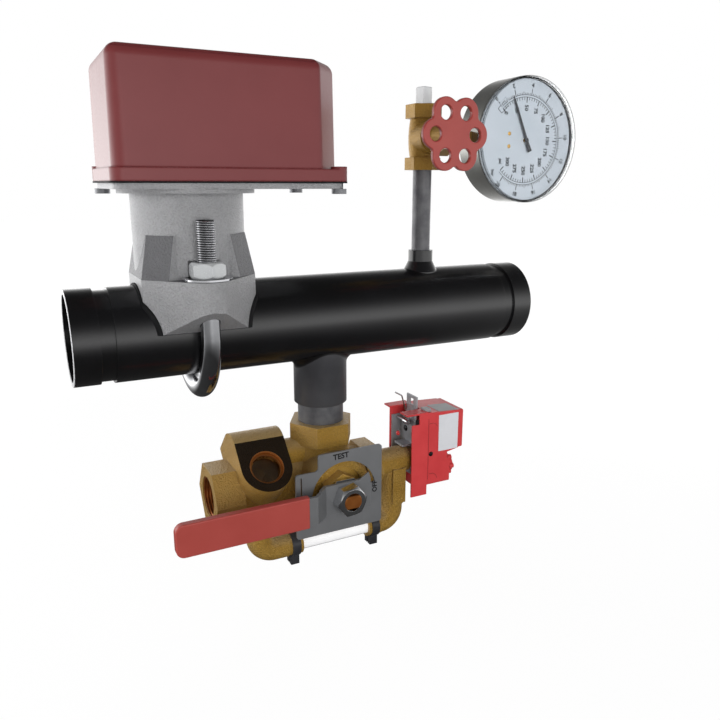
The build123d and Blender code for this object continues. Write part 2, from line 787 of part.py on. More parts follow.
bonnet_nose = wheel_front - wheel_thickness - 4.0 - gauge_seat_travel - 0.5
with BuildPart() as gauge_bonnet:
    with BuildSketch(radial_plane(gauge_x, gauge_z)):
        with BuildLine():
            Polyline(
                (gauge_stem_r + running_gap, bonnet_face - 9.0),
                (bonnet_thread_r, bonnet_face - 9.0),
                (bonnet_thread_r, bonnet_face),
                (10.6, bonnet_face),
                (10.6, bonnet_face + 3.0),
                (7.4, bonnet_face + 7.5),
                (6.6, bonnet_nose),
                (gauge_stem_r + running_gap, bonnet_nose),
                close=True,
            )
        make_face()
    revolve(axis=gauge_valve_axis)
gauge_bonnet.part.label = "gauge_bonnet"
export_step(gauge_bonnet.part, "parts/gauge_bonnet.step")

with BuildPart() as gauge_stem:
    wheel_back = wheel_front - wheel_thickness
    with BuildSketch(radial_plane(gauge_x, gauge_z)):
        with BuildLine():
            Polyline(
                (0, 6.2),
                (gauge_stem_r, 6.2),
                (gauge_stem_r, wheel_back - 4.0),
                (2.2, wheel_back - 4.0),
                (2.2, wheel_front - 0.6),
                (0, wheel_front - 0.6),
                close=True,
            )
        make_face()
    revolve(axis=gauge_valve_axis)
gauge_stem.part.label = "gauge_stem"
export_step(gauge_stem.part, "parts/gauge_stem.step")

with BuildPart() as seat_disc:
    with BuildSketch(radial_plane(gauge_x, gauge_z)):
        with BuildLine():
            Polyline(
                (0, seat_disc_face),
                (3.0, seat_disc_face),
                (5.0, seat_disc_face + 1.2),
                (5.0, 6.0),
                (0, 6.0),
                close=True,
            )
        make_face()
    revolve(axis=gauge_valve_axis)
seat_disc.part.label = "seat_disc"
export_step(seat_disc.part, "parts/seat_disc.step")

with BuildPart() as handwheel:
    with BuildSketch(facing_plane(gauge_x, gauge_z, wheel_front)):
        Circle(wheel_lobe_pitch + 2.0)
        with PolarLocations(wheel_lobe_pitch, wheel_lobes):
            Circle(wheel_lobe_r)
    extrude(amount=-wheel_thickness)
    valleys = handwheel.edges().filter_by(Axis.Y)
    fillet(valleys, 3.0)
    with BuildSketch(facing_plane(gauge_x, gauge_z, wheel_front)):
        with PolarLocations(wheel_lobe_pitch, wheel_lobes):
            Circle(wheel_hole_r)
    extrude(amount=-wheel_thickness, mode=Mode.SUBTRACT)
    with BuildSketch(facing_plane(gauge_x, gauge_z, wheel_front - wheel_thickness)):
        Circle(6.5)
    extrude(amount=-4.0)
    with BuildSketch(facing_plane(gauge_x, gauge_z, wheel_front - wheel_thickness - 4.0)):
        Circle(2.2)
    extrude(amount=wheel_thickness + 3.4, mode=Mode.SUBTRACT)
    front_rim = handwheel.faces().sort_by(Axis.Y)[0].edges()
    fillet(front_rim, 0.8)
handwheel.part.label = "handwheel"
export_step(handwheel.part, "parts/handwheel.step")


# Pressure gauge
gauge_axis = Axis((gauge_centre_x, 0, gauge_z), (0, 1, 0))
socket_half = 5.5
pointer_shaft_r = 1.2
stop_box_place = (-21.5, 26.5)
sector_r = gear_module * pinion_teeth * sector_ratio / 2
pinion_r = gear_module * pinion_teeth / 2
sector_pivot_x = gauge_centre_x - sector_r - pinion_r
gear_front = 4.5
gear_thickness = 2.0

rim_bore_r = case_r - rim_wall
dial_back = dial_front - dial_thickness
dial_r = rim_bore_r - dial_clearance
lens_r = rim_bore_r - thread_gap
lens_back = lens_front - lens_lip - lens_thickness
with BuildPart() as gauge_case:
    # A cup with a ledge inside its rim for the dial
    with BuildSketch(radial_plane(gauge_centre_x, gauge_z)):
        with BuildLine():
            Polyline(
                (0, -case_back),
                (case_r - case_corner, -case_back),
                (case_r, -case_back + case_corner),
                (case_r, case_front),
                (rim_bore_r, case_front),
                (rim_bore_r, dial_back),
                (case_r - case_wall, dial_back),
                (case_r - case_wall, -case_back + case_corner),
                (case_r - case_corner - case_wall / 2, -case_back + case_wall / 2),
                (0, -case_back + case_wall / 2),
                close=True,
            )
        make_face()
    revolve(axis=gauge_axis)
    case_left = Plane(origin=(gauge_centre_x - case_r - 2.0, 0, gauge_z), x_dir=(0, 1, 0), z_dir=(1, 0, 0))
    with BuildSketch(case_left):
        Rectangle(2 * (socket_half + thread_gap), 2 * (socket_half + thread_gap))
    extrude(amount=case_wall + 6.0, mode=Mode.SUBTRACT)
gauge_case.part.label = "gauge_case"
export_step(gauge_case.part, "parts/gauge_case.step")

with BuildPart() as gauge_bezel:
    # The clear ring in front of the rim, with the groove that holds the lens
    with BuildSketch(radial_plane(gauge_centre_x, gauge_z)):
        with BuildLine():
            Polyline(
                (case_r, case_front),
                (case_r, lens_front - lens_lip),
                (case_r - lens_lip, lens_front),
                (lens_r - lens_ledge, lens_front),
                (lens_r - lens_ledge, lens_front - lens_lip),
                (rim_bore_r, lens_front - lens_lip),
                (rim_bore_r, lens_back),
                (lens_r - lens_ledge, lens_back),
                (lens_r - lens_ledge, case_front),
                close=True,
            )
        make_face()
    revolve(axis=gauge_axis)
gauge_bezel.part.label = "gauge_bezel"
export_step(gauge_bezel.part, "parts/gauge_bezel.step")

with BuildPart() as gauge_lens:
    with BuildSketch(facing_plane(gauge_centre_x, gauge_z, lens_front - lens_lip)):
        Circle(lens_r)
    extrude(amount=-lens_thickness)
gauge_lens.part.label = "gauge_lens"
export_step(gauge_lens.part, "parts/gauge_lens.step")

with BuildPart() as gauge_dial:
    with BuildSketch(facing_plane(gauge_centre_x, gauge_z, dial_front)):
        Circle(dial_r)
        Circle(pointer_shaft_r + 0.4, mode=Mode.SUBTRACT)
    extrude(amount=-dial_thickness)
    # The small box that the pointer rests against at zero
    with BuildSketch(facing_plane(gauge_centre_x, gauge_z, dial_front)):
        with Locations(stop_box_place):
            Rectangle(7.4, 4.4, rotation=45)
            Rectangle(6.2, 3.2, rotation=45, mode=Mode.SUBTRACT)
    extrude(amount=0.5)
gauge_dial.part.label = "gauge_dial"
export_step(gauge_dial.part, "parts/gauge_dial.step")

pointer_front = dial_front + 2.4
with BuildPart() as gauge_pointer:
    needle_plane = facing_plane(gauge_centre_x, gauge_z, pointer_front, pointer_rest)
    with BuildSketch(needle_plane):
        Circle(1.9)
        with BuildLine():
            Polyline(
                (-1.0, 0),
                (-0.55, pointer_length - 4.0),
                (0, pointer_length),
                (0.55, pointer_length - 4.0),
                (1.0, 0),
                (1.9, -9.0),
                (-1.9, -9.0),
                close=True,
            )
        make_face()
    extrude(amount=-0.6)
gauge_pointer.part.label = "gauge_pointer"
export_step(gauge_pointer.part, "parts/gauge_pointer.step")


def toothed_outline(teeth, module, first, count):
    """Teeth with straight flanks on a pitch circle, from the tooth numbered first."""
    pitch = module * teeth / 2
    tip, root = pitch + 0.8 * module, pitch - 1.1 * module
    step = 2 * pi / teeth
    half_tip, half_root = 0.10 * step, 0.30 * step
    points = []
    for tooth in range(first, first + count):
        middle = tooth * step
        for radius, turn in ((root, -half_root), (tip, -half_tip), (tip, half_tip), (root, half_root)):
            points.append((radius * cos(middle + turn), radius * sin(middle + turn)))
    return points


sector_teeth = int(pinion_teeth * sector_ratio)
sector_count = 12
with BuildPart() as pointer_shaft:
    with BuildSketch(facing_plane(gauge_centre_x, gauge_z, pointer_front - 0.6)):
        Circle(1.2)
    extrude(amount=-(pointer_front - 0.6 + 6.0))
    with BuildSketch(facing_plane(gauge_centre_x, gauge_z, gear_front)):
        with BuildLine():
            Polyline(*toothed_outline(pinion_teeth, gear_module, 0, pinion_teeth), close=True)
        make_face()
    extrude(amount=-gear_thickness)
pointer_shaft.part.label = "pointer_shaft"
export_step(pointer_shaft.part, "parts/pointer_shaft.step")

with BuildPart() as sector_gear:
    # A space of the sector faces the pinion's tooth at rest
    half_space = 360.0 / sector_teeth / 2
    with BuildSketch(facing_plane(sector_pivot_x, gauge_z, gear_front, half_space)):
        with BuildLine():
            Polyline(
                *toothed_outline(sector_teeth, gear_module, -9, sector_count),
                (3.0, 2.5),
                (-2.5, 2.5),
                (-9.0, 1.5),
                (-9.0, -1.5),
                (-2.5, -2.5),
                close=True,
            )
        make_face()
        Circle(3.6)
        Circle(1.25, mode=Mode.SUBTRACT)
    extrude(amount=-gear_thickness)
sector_gear.part.label = "sector_gear"
export_step(sector_gear.part, "parts/sector_gear.step")

plate_front = 8.0
plate_rear = -4.0
movement_thickness = 1.2
movement_half = 9.0
movement_left = sector_pivot_x - gauge_centre_x - 6.0
with BuildPart() as movement_frame:
    for front in (plate_front, plate_rear + movement_thickness):
        with BuildSketch(facing_plane(gauge_centre_x, gauge_z, front)):
            with Locations((movement_left / 2 + 2.5, 0)):
                RectangleRounded(-movement_left + 5.0, 2 * movement_half, 2.0)
            Circle(1.2 + running_gap, mode=Mode.SUBTRACT)
            with Locations((sector_pivot_x - gauge_centre_x, 0)):
                Circle(1.2, mode=Mode.SUBTRACT)
        extrude(amount=-movement_thickness)
    with BuildSketch(facing_plane(gauge_centre_x, gauge_z, plate_front)):
        with Locations((movement_left + 3.0, -movement_half + 2.5), (3.5, -movement_half + 1.6)):
            Circle(1.5)
    extrude(amount=-(plate_front - plate_rear))
    with BuildSketch(facing_plane(sector_pivot_x, gauge_z, plate_front)):
        Circle(1.2)
    extrude(amount=-(plate_front - plate_rear))
movement_frame.part.label = "movement_frame"
export_step(movement_frame.part, "parts/movement_frame.step")

# The tube starts on the socket's lower face and curls round almost to the top
bourdon_r = 36.0
bourdon_wide = 9.0
bourdon_thick = 3.0
bourdon_start = 180 + degrees(asin((socket_half + thread_gap) / (bourdon_r - bourdon_thick / 2)))
bourdon_sweep = 250.0
with BuildPart() as bourdon_tube:
    with BuildLine(facing_plane(gauge_centre_x, gauge_z, 0)) as coil:
        CenterArc((0, 0), bourdon_r, bourdon_start, bourdon_sweep)
    with BuildSketch(Plane(origin=coil.line @ 0, x_dir=(0, 1, 0), z_dir=coil.line % 0)):
        SlotOverall(bourdon_wide, bourdon_thick)
    sweep(path=coil.line)
bourdon_tube.part.label = "bourdon_tube"
export_step(bourdon_tube.part, "parts/bourdon_tube.step")

with BuildPart() as gauge_socket:
    # Threaded shank in the valve, wrench square, then the block inside the case
    with BuildSketch(Plane(origin=(socket_face_x - 8.0, 0, gauge_z), x_dir=(0, 1, 0), z_dir=(1, 0, 0))):
        Circle(gauge_pipe_od / 2)
    extrude(amount=10.0)
    with BuildSketch(Plane(origin=(socket_face_x + 1.0, 0, gauge_z), x_dir=(0, 1, 0), z_dir=(1, 0, 0))):
        Rectangle(2 * socket_half, 2 * socket_half)
    extrude(amount=gauge_centre_x - bourdon_r + 5.0 - socket_face_x - 1.0)
    with BuildSketch(Plane(origin=(socket_face_x - 8.0, 0, gauge_z), x_dir=(0, 1, 0), z_dir=(1, 0, 0))):
        Circle(2.5)
    extrude(amount=24.0, mode=Mode.SUBTRACT)
gauge_socket.part.label = "gauge_socket"
export_step(gauge_socket.part, "parts/gauge_socket.step")


# Test and drain valve
valve_axis = Axis((drain_x, 0, valve_z), (0, 1, 0))
inlet_hex_bottom = inlet_hex_top - inlet_hex_height
cavity_r = ball_r + 0.5
seat_inner_r = ball_port_r
seat_outer_r = ball_port_r + seat_width
seat_back = ball_r + 0.6
bonnet_r = 17.9
bonnet_shoulder = 30.0
gland_af = 26.0
sight_plane_front = Plane(
    origin=(sight_x, -sight_reach * cos(radians(45)), valve_z + sight_reach * sin(radians(45))),
    x_dir=(1, 0, 0),
    z_dir=(0, -1, 1),
)
sight_plane_back = Plane(
    origin=(sight_x, sight_reach * cos(radians(45)), valve_z + sight_reach * sin(radians(45))),
    x_dir=(-1, 0, 0),
    z_dir=(0, 1, 1),
)
roof_half = (sight_reach - sight_head) * cos(radians(45))
roof_edge_z = valve_z + (sight_reach + sight_head) * sin(radians(45))
roof_crown_z = roof_edge_z + 4.3
left_plane = Plane(origin=(outlet_end, 0, valve_z), x_dir=(0, 1, 0), z_dir=(-1, 0, 0))
right_plane = Plane(origin=(relief_port_end, 0, valve_z), x_dir=(0, 1, 0), z_dir=(1, 0, 0))
bypass_boss_bottom = -149.0

with BuildPart() as test_drain_body:
    with Locations((drain_x, 0, valve_z)):
        Sphere(chamber_r)
    # Inlet: hexagon, then a neck that widens into the ball chamber
    with BuildSketch(Plane.XY.offset(inlet_hex_top)):
        with Locations((drain_x, 0)):
            RegularPolygon(inlet_hex_af / 2, 6, major_radius=False)
    extrude(amount=-inlet_hex_height)
    with BuildSketch(Plane.XY.offset(inlet_hex_bottom)):
        with Locations((drain_x, 0)):
            Circle(inlet_hex_af / 2 - 2.0)
    extrude(amount=-16.0, taper=-14.0)
    # Barrel to the outlet hexagon
    with BuildSketch(left_plane):
        RegularPolygon(outlet_hex_af / 2, 6, major_radius=False, rotation=0)
    extrude(amount=-outlet_hex_length)
    with BuildSketch(left_plane.offset(-outlet_hex_length)):
        Circle(barrel_r)
    extrude(amount=-(drain_x - outlet_end - outlet_hex_length))
    # Sight chamber: a D-shaped boss to each side under one arched roof
    for sight_plane in (sight_plane_front, sight_plane_back):
        with BuildSketch(sight_plane):
            Circle(sight_r)
            with Locations((0, sight_head / 2)):
                Rectangle(2 * sight_r, sight_head)
        extrude(amount=-sight_reach)
    with BuildSketch(Plane.YZ.offset(sight_x - sight_r)):
        with BuildLine():
            roof = ThreePointArc((-roof_half, roof_edge_z), (0, roof_crown_z), (roof_half, roof_edge_z))
            Polyline(roof @ 1, (roof_half, valve_z), (-roof_half, valve_z), roof @ 0)
        make_face()
    extrude(amount=2 * sight_r)
    # The passage between the sight chamber and the inlet neck
    with BuildSketch(Plane.YZ.offset(sight_x)):
        with Locations((0, valve_z + 22.0)):
            Circle(11.0)
    extrude(amount=drain_x - sight_x)
    # Bonnet boss towards the user, rounded at its mouth
    with BuildSketch(radial_plane(drain_x, valve_z)):
        with BuildLine():
            Polyline((0, -chamber_r), (17.0, -chamber_r), (chamber_r - 1.0, -17.0), (chamber_r - 1.0, 26.0))
            CenterArc((chamber_r - 7.0, 26.0), 6.0, 0, 90)
            Polyline((chamber_r - 7.0, 32.0), (0, 32.0), (0, -chamber_r))
        make_face()
    revolve(axis=valve_axis)
    # Relief port on the right
    with BuildSketch(right_plane.offset(-relief_hex_length)):
        Circle(relief_hex_af / 2 - 2.0)
    extrude(amount=-(relief_port_end - relief_hex_length - drain_x))
    with BuildSketch(right_plane):
        RegularPolygon(relief_hex_af / 2, 6, major_radius=False, rotation=0)
    extrude(amount=-relief_hex_length)
    # Bypass return boss under the sight chamber, and two lugs behind the indicator plate
    with BuildSketch(Plane.XY.offset(bypass_boss_bottom)):
        with Locations((bypass_left_x, 0)):
            Circle(13.0)
    extrude(amount=valve_z - bypass_boss_bottom)
    with BuildSketch(facing_plane(drain_x, valve_z, index_front - index_thickness)):
        with Locations((-16.0, -18.0), (16.0, -18.0)):
            Circle(5.0)
    extrude(amount=-(index_front - index_thickness))
    # Inside: ball cavity, three seats, the passages and the threaded ports
    with BuildSketch(facing_plane(drain_x, valve_z, 32.0)):
        Circle(bonnet_r + thread_gap)
    extrude(amount=-32.0, mode=Mode.SUBTRACT)
    with Locations((drain_x, 0, valve_z)):
        Sphere(cavity_r, mode=Mode.SUBTRACT)
    with BuildSketch(Plane.XY.offset(valve_z)):
        with Locations((drain_x, 0)):
            Circle(seat_outer_r)
    extrude(amount=seat_back, mode=Mode.SUBTRACT)
    with BuildSketch(Plane(origin=(drain_x, 0, valve_z), x_dir=(0, 1, 0), z_dir=(1, 0, 0))):
        Circle(seat_outer_r)
    extrude(amount=seat_back, both=True, mode=Mode.SUBTRACT)
    with BuildSketch(Plane.XY.offset(inlet_hex_top)):
        with Locations((drain_x, 0)):
            Circle(seat_inner_r)
    extrude(amount=valve_z - inlet_hex_top, mode=Mode.SUBTRACT)
    with BuildSketch(Plane.XY.offset(inlet_hex_top)):
        with Locations((drain_x, 0)):
            Circle(drain_pipe_od / 2 + thread_gap)
    extrude(amount=drain_pipe_end - inlet_hex_top, mode=Mode.SUBTRACT)
    with BuildSketch(left_plane):
        Circle(seat_inner_r)
    extrude(amount=outlet_end - drain_x, mode=Mode.SUBTRACT)
    with BuildSketch(left_plane):
        Circle(outlet_bore_r)
    extrude(amount=-outlet_hex_length - 6.0, mode=Mode.SUBTRACT)
    with BuildSketch(right_plane):
        Circle(5.0)
    extrude(amount=drain_x - relief_port_end, mode=Mode.SUBTRACT)
    with BuildSketch(right_plane):
        Circle(elbow_thread_r + thread_gap)
    extrude(amount=-relief_hex_length + 3.0, mode=Mode.SUBTRACT)
    for sight_plane in (sight_plane_front, sight_plane_back):
        with BuildSketch(sight_plane):
            Circle(sight_glass_r)
        extrude(amount=-sight_recess, mode=Mode.SUBTRACT)
        with BuildSketch(sight_plane):
            Circle(sight_glass_r - 2.5)
        extrude(amount=-sight_reach, mode=Mode.SUBTRACT)
    with BuildSketch(Plane.XY.offset(bypass_boss_bottom)):
        with Locations((bypass_left_x, 0)):
            Circle(4.0)
    extrude(amount=valve_z - bypass_boss_bottom, mode=Mode.SUBTRACT)
    with BuildSketch(Plane.XY.offset(bypass_boss_bottom)):
        with Locations((bypass_left_x, 0)):
            Circle(elbow_thread_r + thread_gap)
    extrude(amount=9.0, mode=Mode.SUBTRACT)
test_drain_body.part.label = "test_drain_body"
export_step(test_drain_body.part, "parts/test_drain_body.step")

with BuildPart() as drain_pipe:
    with BuildSketch(Plane.XY.offset(drain_pipe_end)):
        with Locations((drain_x, 0)):
            Circle(drain_pipe_od / 2)
            Circle(drain_pipe_bore / 2, mode=Mode.SUBTRACT)
    extrude(amount=coupling_bottom + coupling_thread_depth - drain_pipe_end - 1.0)
drain_pipe.part.label = "drain_pipe"
export_step(drain_pipe.part, "parts/drain_pipe.step")

with BuildPart() as valve_ball:
    tang_width = 6.0
    tang_length = 13.0
    tang_depth = 5.0
    with Locations((drain_x, 0, valve_z)):
        Sphere(ball_r)
    with BuildSketch(Plane.XY.offset(valve_z)):
        with Locations((drain_x, 0)):
            Circle(ball_port_r)
    extrude(amount=-ball_r, mode=Mode.SUBTRACT)
    with BuildSketch(Plane(origin=(drain_x, 0, valve_z), x_dir=(0, 1, 0), z_dir=(1, 0, 0))):
        Circle(ball_port_r)
    extrude(amount=ball_r, mode=Mode.SUBTRACT)
    with BuildSketch(Plane.XY.offset(valve_z)):
        with Locations((drain_x, 0)):
            Circle(test_orifice_r)
    extrude(amount=ball_r, mode=Mode.SUBTRACT)
    with BuildSketch(facing_plane(drain_x, valve_z, ball_r)):
        Rectangle(tang_width + 2 * running_gap, 2 * ball_r)
    extrude(amount=-tang_depth, mode=Mode.SUBTRACT)
valve_ball.part.label = "valve_ball"
export_step(valve_ball.part, "parts/valve_ball.step")

with BuildPart() as ball_seats:
    seat_start = 9.0
    for seat_normal in ((0, 0, 1), (1, 0, 0), (-1, 0, 0)):
        seat_plane = Plane(origin=(drain_x, 0, valve_z), x_dir=(0, 1, 0), z_dir=seat_normal)
        with BuildSketch(seat_plane.offset(seat_start)):
            Circle(seat_outer_r)
            Circle(seat_inner_r, mode=Mode.SUBTRACT)
        extrude(amount=seat_back - seat_start)
    with Locations((drain_x, 0, valve_z)):
        Sphere(ball_r + running_gap, mode=Mode.SUBTRACT)
ball_seats.part.label = "ball_seats"
export_step(ball_seats.part, "parts/ball_seats.step")

with BuildPart() as stem_bonnet:
    spigot_r = 9.0
    spigot_end = index_front + 1.8
    gland_face = index_front - index_thickness
    with BuildSketch(radial_plane(drain_x, valve_z)):
        with BuildLine():
            Polyline(
                (valve_stem_r + running_gap, cavity_r + 0.1),
                (bonnet_r, cavity_r + 0.1),
                (bonnet_r, bonnet_shoulder),
                (spigot_r, bonnet_shoulder),
                (spigot_r, spigot_end),
                (valve_stem_r + running_gap, spigot_end),
                close=True,
            )
        make_face()
    revolve(axis=valve_axis)
    with BuildSketch(facing_plane(drain_x, valve_z, bonnet_shoulder)):
        RegularPolygon(gland_af / 2, 6, major_radius=False, rotation=30)
        Circle(valve_stem_r + running_gap, mode=Mode.SUBTRACT)
    extrude(amount=gland_face - bonnet_shoulder)
stem_bonnet.part.label = "stem_bonnet"
export_step(stem_bonnet.part, "parts/stem_bonnet.step")

with BuildPart() as valve_stem:
    with BuildSketch(facing_plane(drain_x, valve_z, ball_r + 0.2)):
        Circle(valve_stem_r)
    extrude(amount=stem_end - ball_r - 0.2)
    with BuildSketch(facing_plane(drain_x, valve_z, ball_r - tang_depth + 0.1)):
        Rectangle(tang_width, tang_length)
    extrude(amount=tang_depth + 0.1)
    with BuildSketch(facing_plane(drain_x, valve_z, stem_end)):
        with Locations((0, stem_flat + 3.0), (0, -stem_flat - 3.0)):
            Rectangle(4 * valve_stem_r, 6.0)
    extrude(amount=-(stem_end - spigot_end), mode=Mode.SUBTRACT)
    chamfer(valve_stem.faces().sort_by(Axis.Y)[0].edges(), 0.5)
valve_stem.part.label = "valve_stem"
export_step(valve_stem.part, "parts/valve_stem.step")

with BuildPart() as plate_nut:
    with BuildSketch(facing_plane(drain_x, valve_z, index_front)):
        RegularPolygon(12.0, 6, major_radius=False)
        Circle(spigot_r + thread_gap, mode=Mode.SUBTRACT)
    extrude(amount=2.0)
plate_nut.part.label = "plate_nut"
export_step(plate_nut.part, "parts/plate_nut.step")

# Indicator plate, with the arc that the lever's stop tab runs in
index_left = 131.1
index_step_x = 148.0
index_right = 197.8
index_bottom = -149.0
index_step_z = -100.8
index_top = -89.0
lever_turn = 180.0
tab_angle = 20.0
tab_half_angle = 5.0
with BuildPart() as indicator_plate:
    with BuildSketch(facing_plane(0, 0, index_front)) as index_outline:
        with BuildLine():
            Polyline(
                (index_left, index_bottom),
                (index_right, index_bottom),
                (index_right, index_top),
                (index_step_x, index_top),
                (index_step_x, index_step_z),
                (index_left, index_step_z),
                close=True,
            )
        make_face()
        fillet(index_outline.vertices(), 2.2)
        with Locations((index_left + 4.0, index_step_z - 11.0)):
            Rectangle(1.0, 17.0, mode=Mode.SUBTRACT)
    extrude(amount=-index_thickness)
    arc_start = tab_angle - tab_half_angle - 3.0
    arc_end = tab_angle + lever_turn + tab_half_angle + 3.0
    with BuildSketch(facing_plane(drain_x, valve_z, index_front)):
        with BuildLine():
            sweep_edge = CenterArc((0, 0), arc_r, arc_start, arc_end - arc_start)
            Polyline(sweep_edge @ 1, (0, 0), sweep_edge @ 0)
        make_face()
        Circle(spigot_r + thread_gap)
    extrude(amount=-index_thickness, mode=Mode.SUBTRACT)
indicator_plate.part.label = "indicator_plate"
export_step(indicator_plate.part, "parts/indicator_plate.step")

hub_left = 151.5
hub_right = 186.2
jog_left = 141.0
with BuildPart() as lever_handle:
    with BuildSketch(Plane.XY.offset(valve_z - lever_half_width)):
        with BuildLine():
            Polyline(
                (sleeve_tip + sleeve_wall, -blade_front),
                (jog_left, -blade_front),
                (hub_left, -hub_front),
                (hub_right, -hub_front),
                (hub_right, -hub_front + lever_thickness),
                (hub_left - 0.8, -hub_front + lever_thickness),
                (jog_left - 0.8, -blade_front + lever_thickness),
                (sleeve_tip + sleeve_wall, -blade_front + lever_thickness),
                close=True,
            )
        make_face()
    extrude(amount=2 * lever_half_width)
    with BuildSketch(facing_plane(0, valve_z, blade_front)):
        with Locations((0, lever_half_width + 4.0), (0, -lever_half_width - 4.0)):
            Rectangle(2 * jog_left + 8.0, 2 * (lever_half_width + 4.0 - blade_half_width))
    extrude(amount=-lever_thickness - 6.0, mode=Mode.SUBTRACT)
    tip_edges = lever_handle.edges().filter_by(Axis.Y).group_by(Axis.X)[0]
    fillet(tip_edges, 4.5)
    # Double-D hole on the stem flats
    with BuildSketch(facing_plane(drain_x, valve_z, hub_front)):
        Circle(valve_stem_r + running_gap)
        Rectangle(4 * valve_stem_r, 2 * (stem_flat + running_gap), mode=Mode.INTERSECT)
    extrude(amount=-lever_thickness, mode=Mode.SUBTRACT)
    # Stop tab, bent back through the arc of the indicator plate
    with BuildSketch(facing_plane(drain_x, valve_z, hub_front - lever_thickness, tab_angle)):
        with Locations((arc_r - 6.2, 0)):
            Rectangle(2.4, 4.0)
    extrude(amount=-(hub_front - lever_thickness - index_front + index_thickness))
    # Corner lip beside the arc
    with BuildSketch(facing_plane(0, valve_z, hub_front)):
        with BuildLine():
            Polyline(
                (hub_right - 9.0, lever_half_width),
                (hub_right, lever_half_width),
                (hub_right - 1.6, lever_half_width + 4.6),
                close=True,
            )
        make_face()
    extrude(amount=-1.2)
lever_handle.part.label = "lever_handle"
export_step(lever_handle.part, "parts/lever_handle.step")

with BuildPart() as lever_sleeve:
    sleeve_half = blade_half_width + sleeve_wall
    sleeve_middle = (sleeve_tip + sleeve_end) / 2
    with BuildSketch(facing_plane(sleeve_middle, valve_z, blade_front + sleeve_wall)):
        Rectangle(sleeve_end - sleeve_tip, 2 * sleeve_half)
    extrude(amount=-lever_thickness - 2 * sleeve_wall)
    fillet(lever_sleeve.edges().filter_by(Axis.Y).group_by(Axis.X)[0], 5.6)
    fillet(lever_sleeve.faces().sort_by(Axis.Y)[0].edges(), 0.8)
    with BuildSketch(facing_plane(0, valve_z, blade_front)) as sleeve_pocket:
        with Locations(((sleeve_tip + sleeve_wall + sleeve_end) / 2, 0)):
            Rectangle(sleeve_end - sleeve_tip - sleeve_wall, 2 * blade_half_width)
        fillet(sleeve_pocket.vertices().group_by(Axis.X)[0], 4.5)
    extrude(amount=-lever_thickness, mode=Mode.SUBTRACT)
lever_sleeve.part.label = "lever_sleeve"
export_step(lever_sleeve.part, "parts/lever_sleeve.step")

with BuildPart() as lever_nut:
    nut_front = hub_front + lever_nut_height
    with BuildSketch(facing_plane(drain_x, valve_z, hub_front)):
        RegularPolygon(lever_nut_af / 2, 6, major_radius=False, rotation=8)
    extrude(amount=lever_nut_height)
    with BuildSketch(radial_plane(drain_x, valve_z)):
        with BuildLine():
            Polyline(
                (0, hub_front),
                (lever_nut_af / sqrt(3) + seat_gap, hub_front),
                (lever_nut_af / sqrt(3) + seat_gap, nut_front - lever_nut_chamfer),
                (lever_nut_af / 2 - 2 * seat_gap, nut_front),
                (0, nut_front),
                close=True,
            )
        make_face()
    revolve(axis=valve_axis, mode=Mode.INTERSECT)
    with BuildSketch(facing_plane(drain_x, valve_z, hub_front)):
        Circle(valve_stem_r + thread_gap)
    extrude(amount=lever_nut_height, mode=Mode.SUBTRACT)
lever_nut.part.label = "lever_nut"
export_step(lever_nut.part, "parts/lever_nut.step")

glass_thickness = 3.0
with BuildPart() as sight_glasses:
    for sight_plane in (sight_plane_front, sight_plane_back):
        with BuildSketch(sight_plane.offset(-sight_recess)):
            Circle(sight_glass_r - thread_gap)
        extrude(amount=glass_thickness)
sight_glasses.part.label = "sight_glasses"
export_step(sight_glasses.part, "parts/sight_glasses.step")

with BuildPart() as sight_rings:
    for sight_plane in (sight_plane_front, sight_plane_back):
        with BuildSketch(sight_plane.offset(-sight_recess + glass_thickness)):
            Circle(sight_glass_r - thread_gap)
            Circle(sight_glass_r - 1.8, mode=Mode.SUBTRACT)
        extrude(amount=2.6)
sight_rings.part.label = "sight_rings"
export_step(sight_rings.part, "parts/sight_rings.step")


# Bypass line: from the relief port, round below the valve and back under the sight chamber
relief_r = 10.4
relief_bottom = -155.0
relief_collar = 3.0
panel_left = 224.3
panel_right = 235.8
panel_top = -126.0
panel_proud = 1.0
relief_face_x = 240.9
mount_boss_r = 8.6
fitting_r = 8.8
fitting_length = 11.5
clamp_width = 6.6
clamp_floor_r = 7.8
clamp_r = 9.8
barb_r = tube_bore / 2 - thread_gap
barb_length = 10.0
water_r = 3.6
poppet_r = 5.6
poppet_top = -136.0
spring_bore_r = 6.4
flange_top = -89.0
web_x = 246.0

with BuildPart() as relief_body:
    # An angle body: in from the left, down through the poppet, with a boss for the switch
    with BuildSketch(right_plane):
        Circle(relief_r)
    extrude(amount=relief_face_x - relief_port_end)
    with BuildSketch(Plane.XY.offset(valve_z)):
        with Locations((bypass_right_x, 0)):
            Circle(relief_r)
    extrude(amount=relief_bottom - valve_z)
    with BuildSketch(facing_plane((panel_left + panel_right) / 2, 0, 0)):
        with Locations((0, (panel_top + relief_bottom) / 2)):
            Rectangle(panel_right - panel_left, panel_top - relief_bottom)
    extrude(amount=relief_r + panel_proud)
    with BuildSketch(Plane.YZ.offset(bypass_right_x)):
        with Locations((0, valve_z)):
            Circle(mount_boss_r)
    extrude(amount=web_x - bypass_right_x)
    with BuildSketch(right_plane):
        Circle(elbow_thread_r)
    extrude(amount=-relief_hex_length + 4.0)
    with BuildSketch(right_plane.offset(-relief_hex_length)):
        Circle(water_r)
    extrude(amount=bypass_right_x - relief_port_end + relief_hex_length, mode=Mode.SUBTRACT)
    with BuildSketch(Plane.XY.offset(valve_z)):
        with Locations((bypass_right_x, 0)):
            Circle(water_r)
    extrude(amount=relief_bottom - valve_z, mode=Mode.SUBTRACT)
    with BuildSketch(Plane.XY.offset(poppet_top + thread_gap)):
        with Locations((bypass_right_x, 0)):
            Circle(spring_bore_r)
    extrude(amount=relief_bottom - poppet_top, mode=Mode.SUBTRACT)
relief_body.part.label = "relief_body"
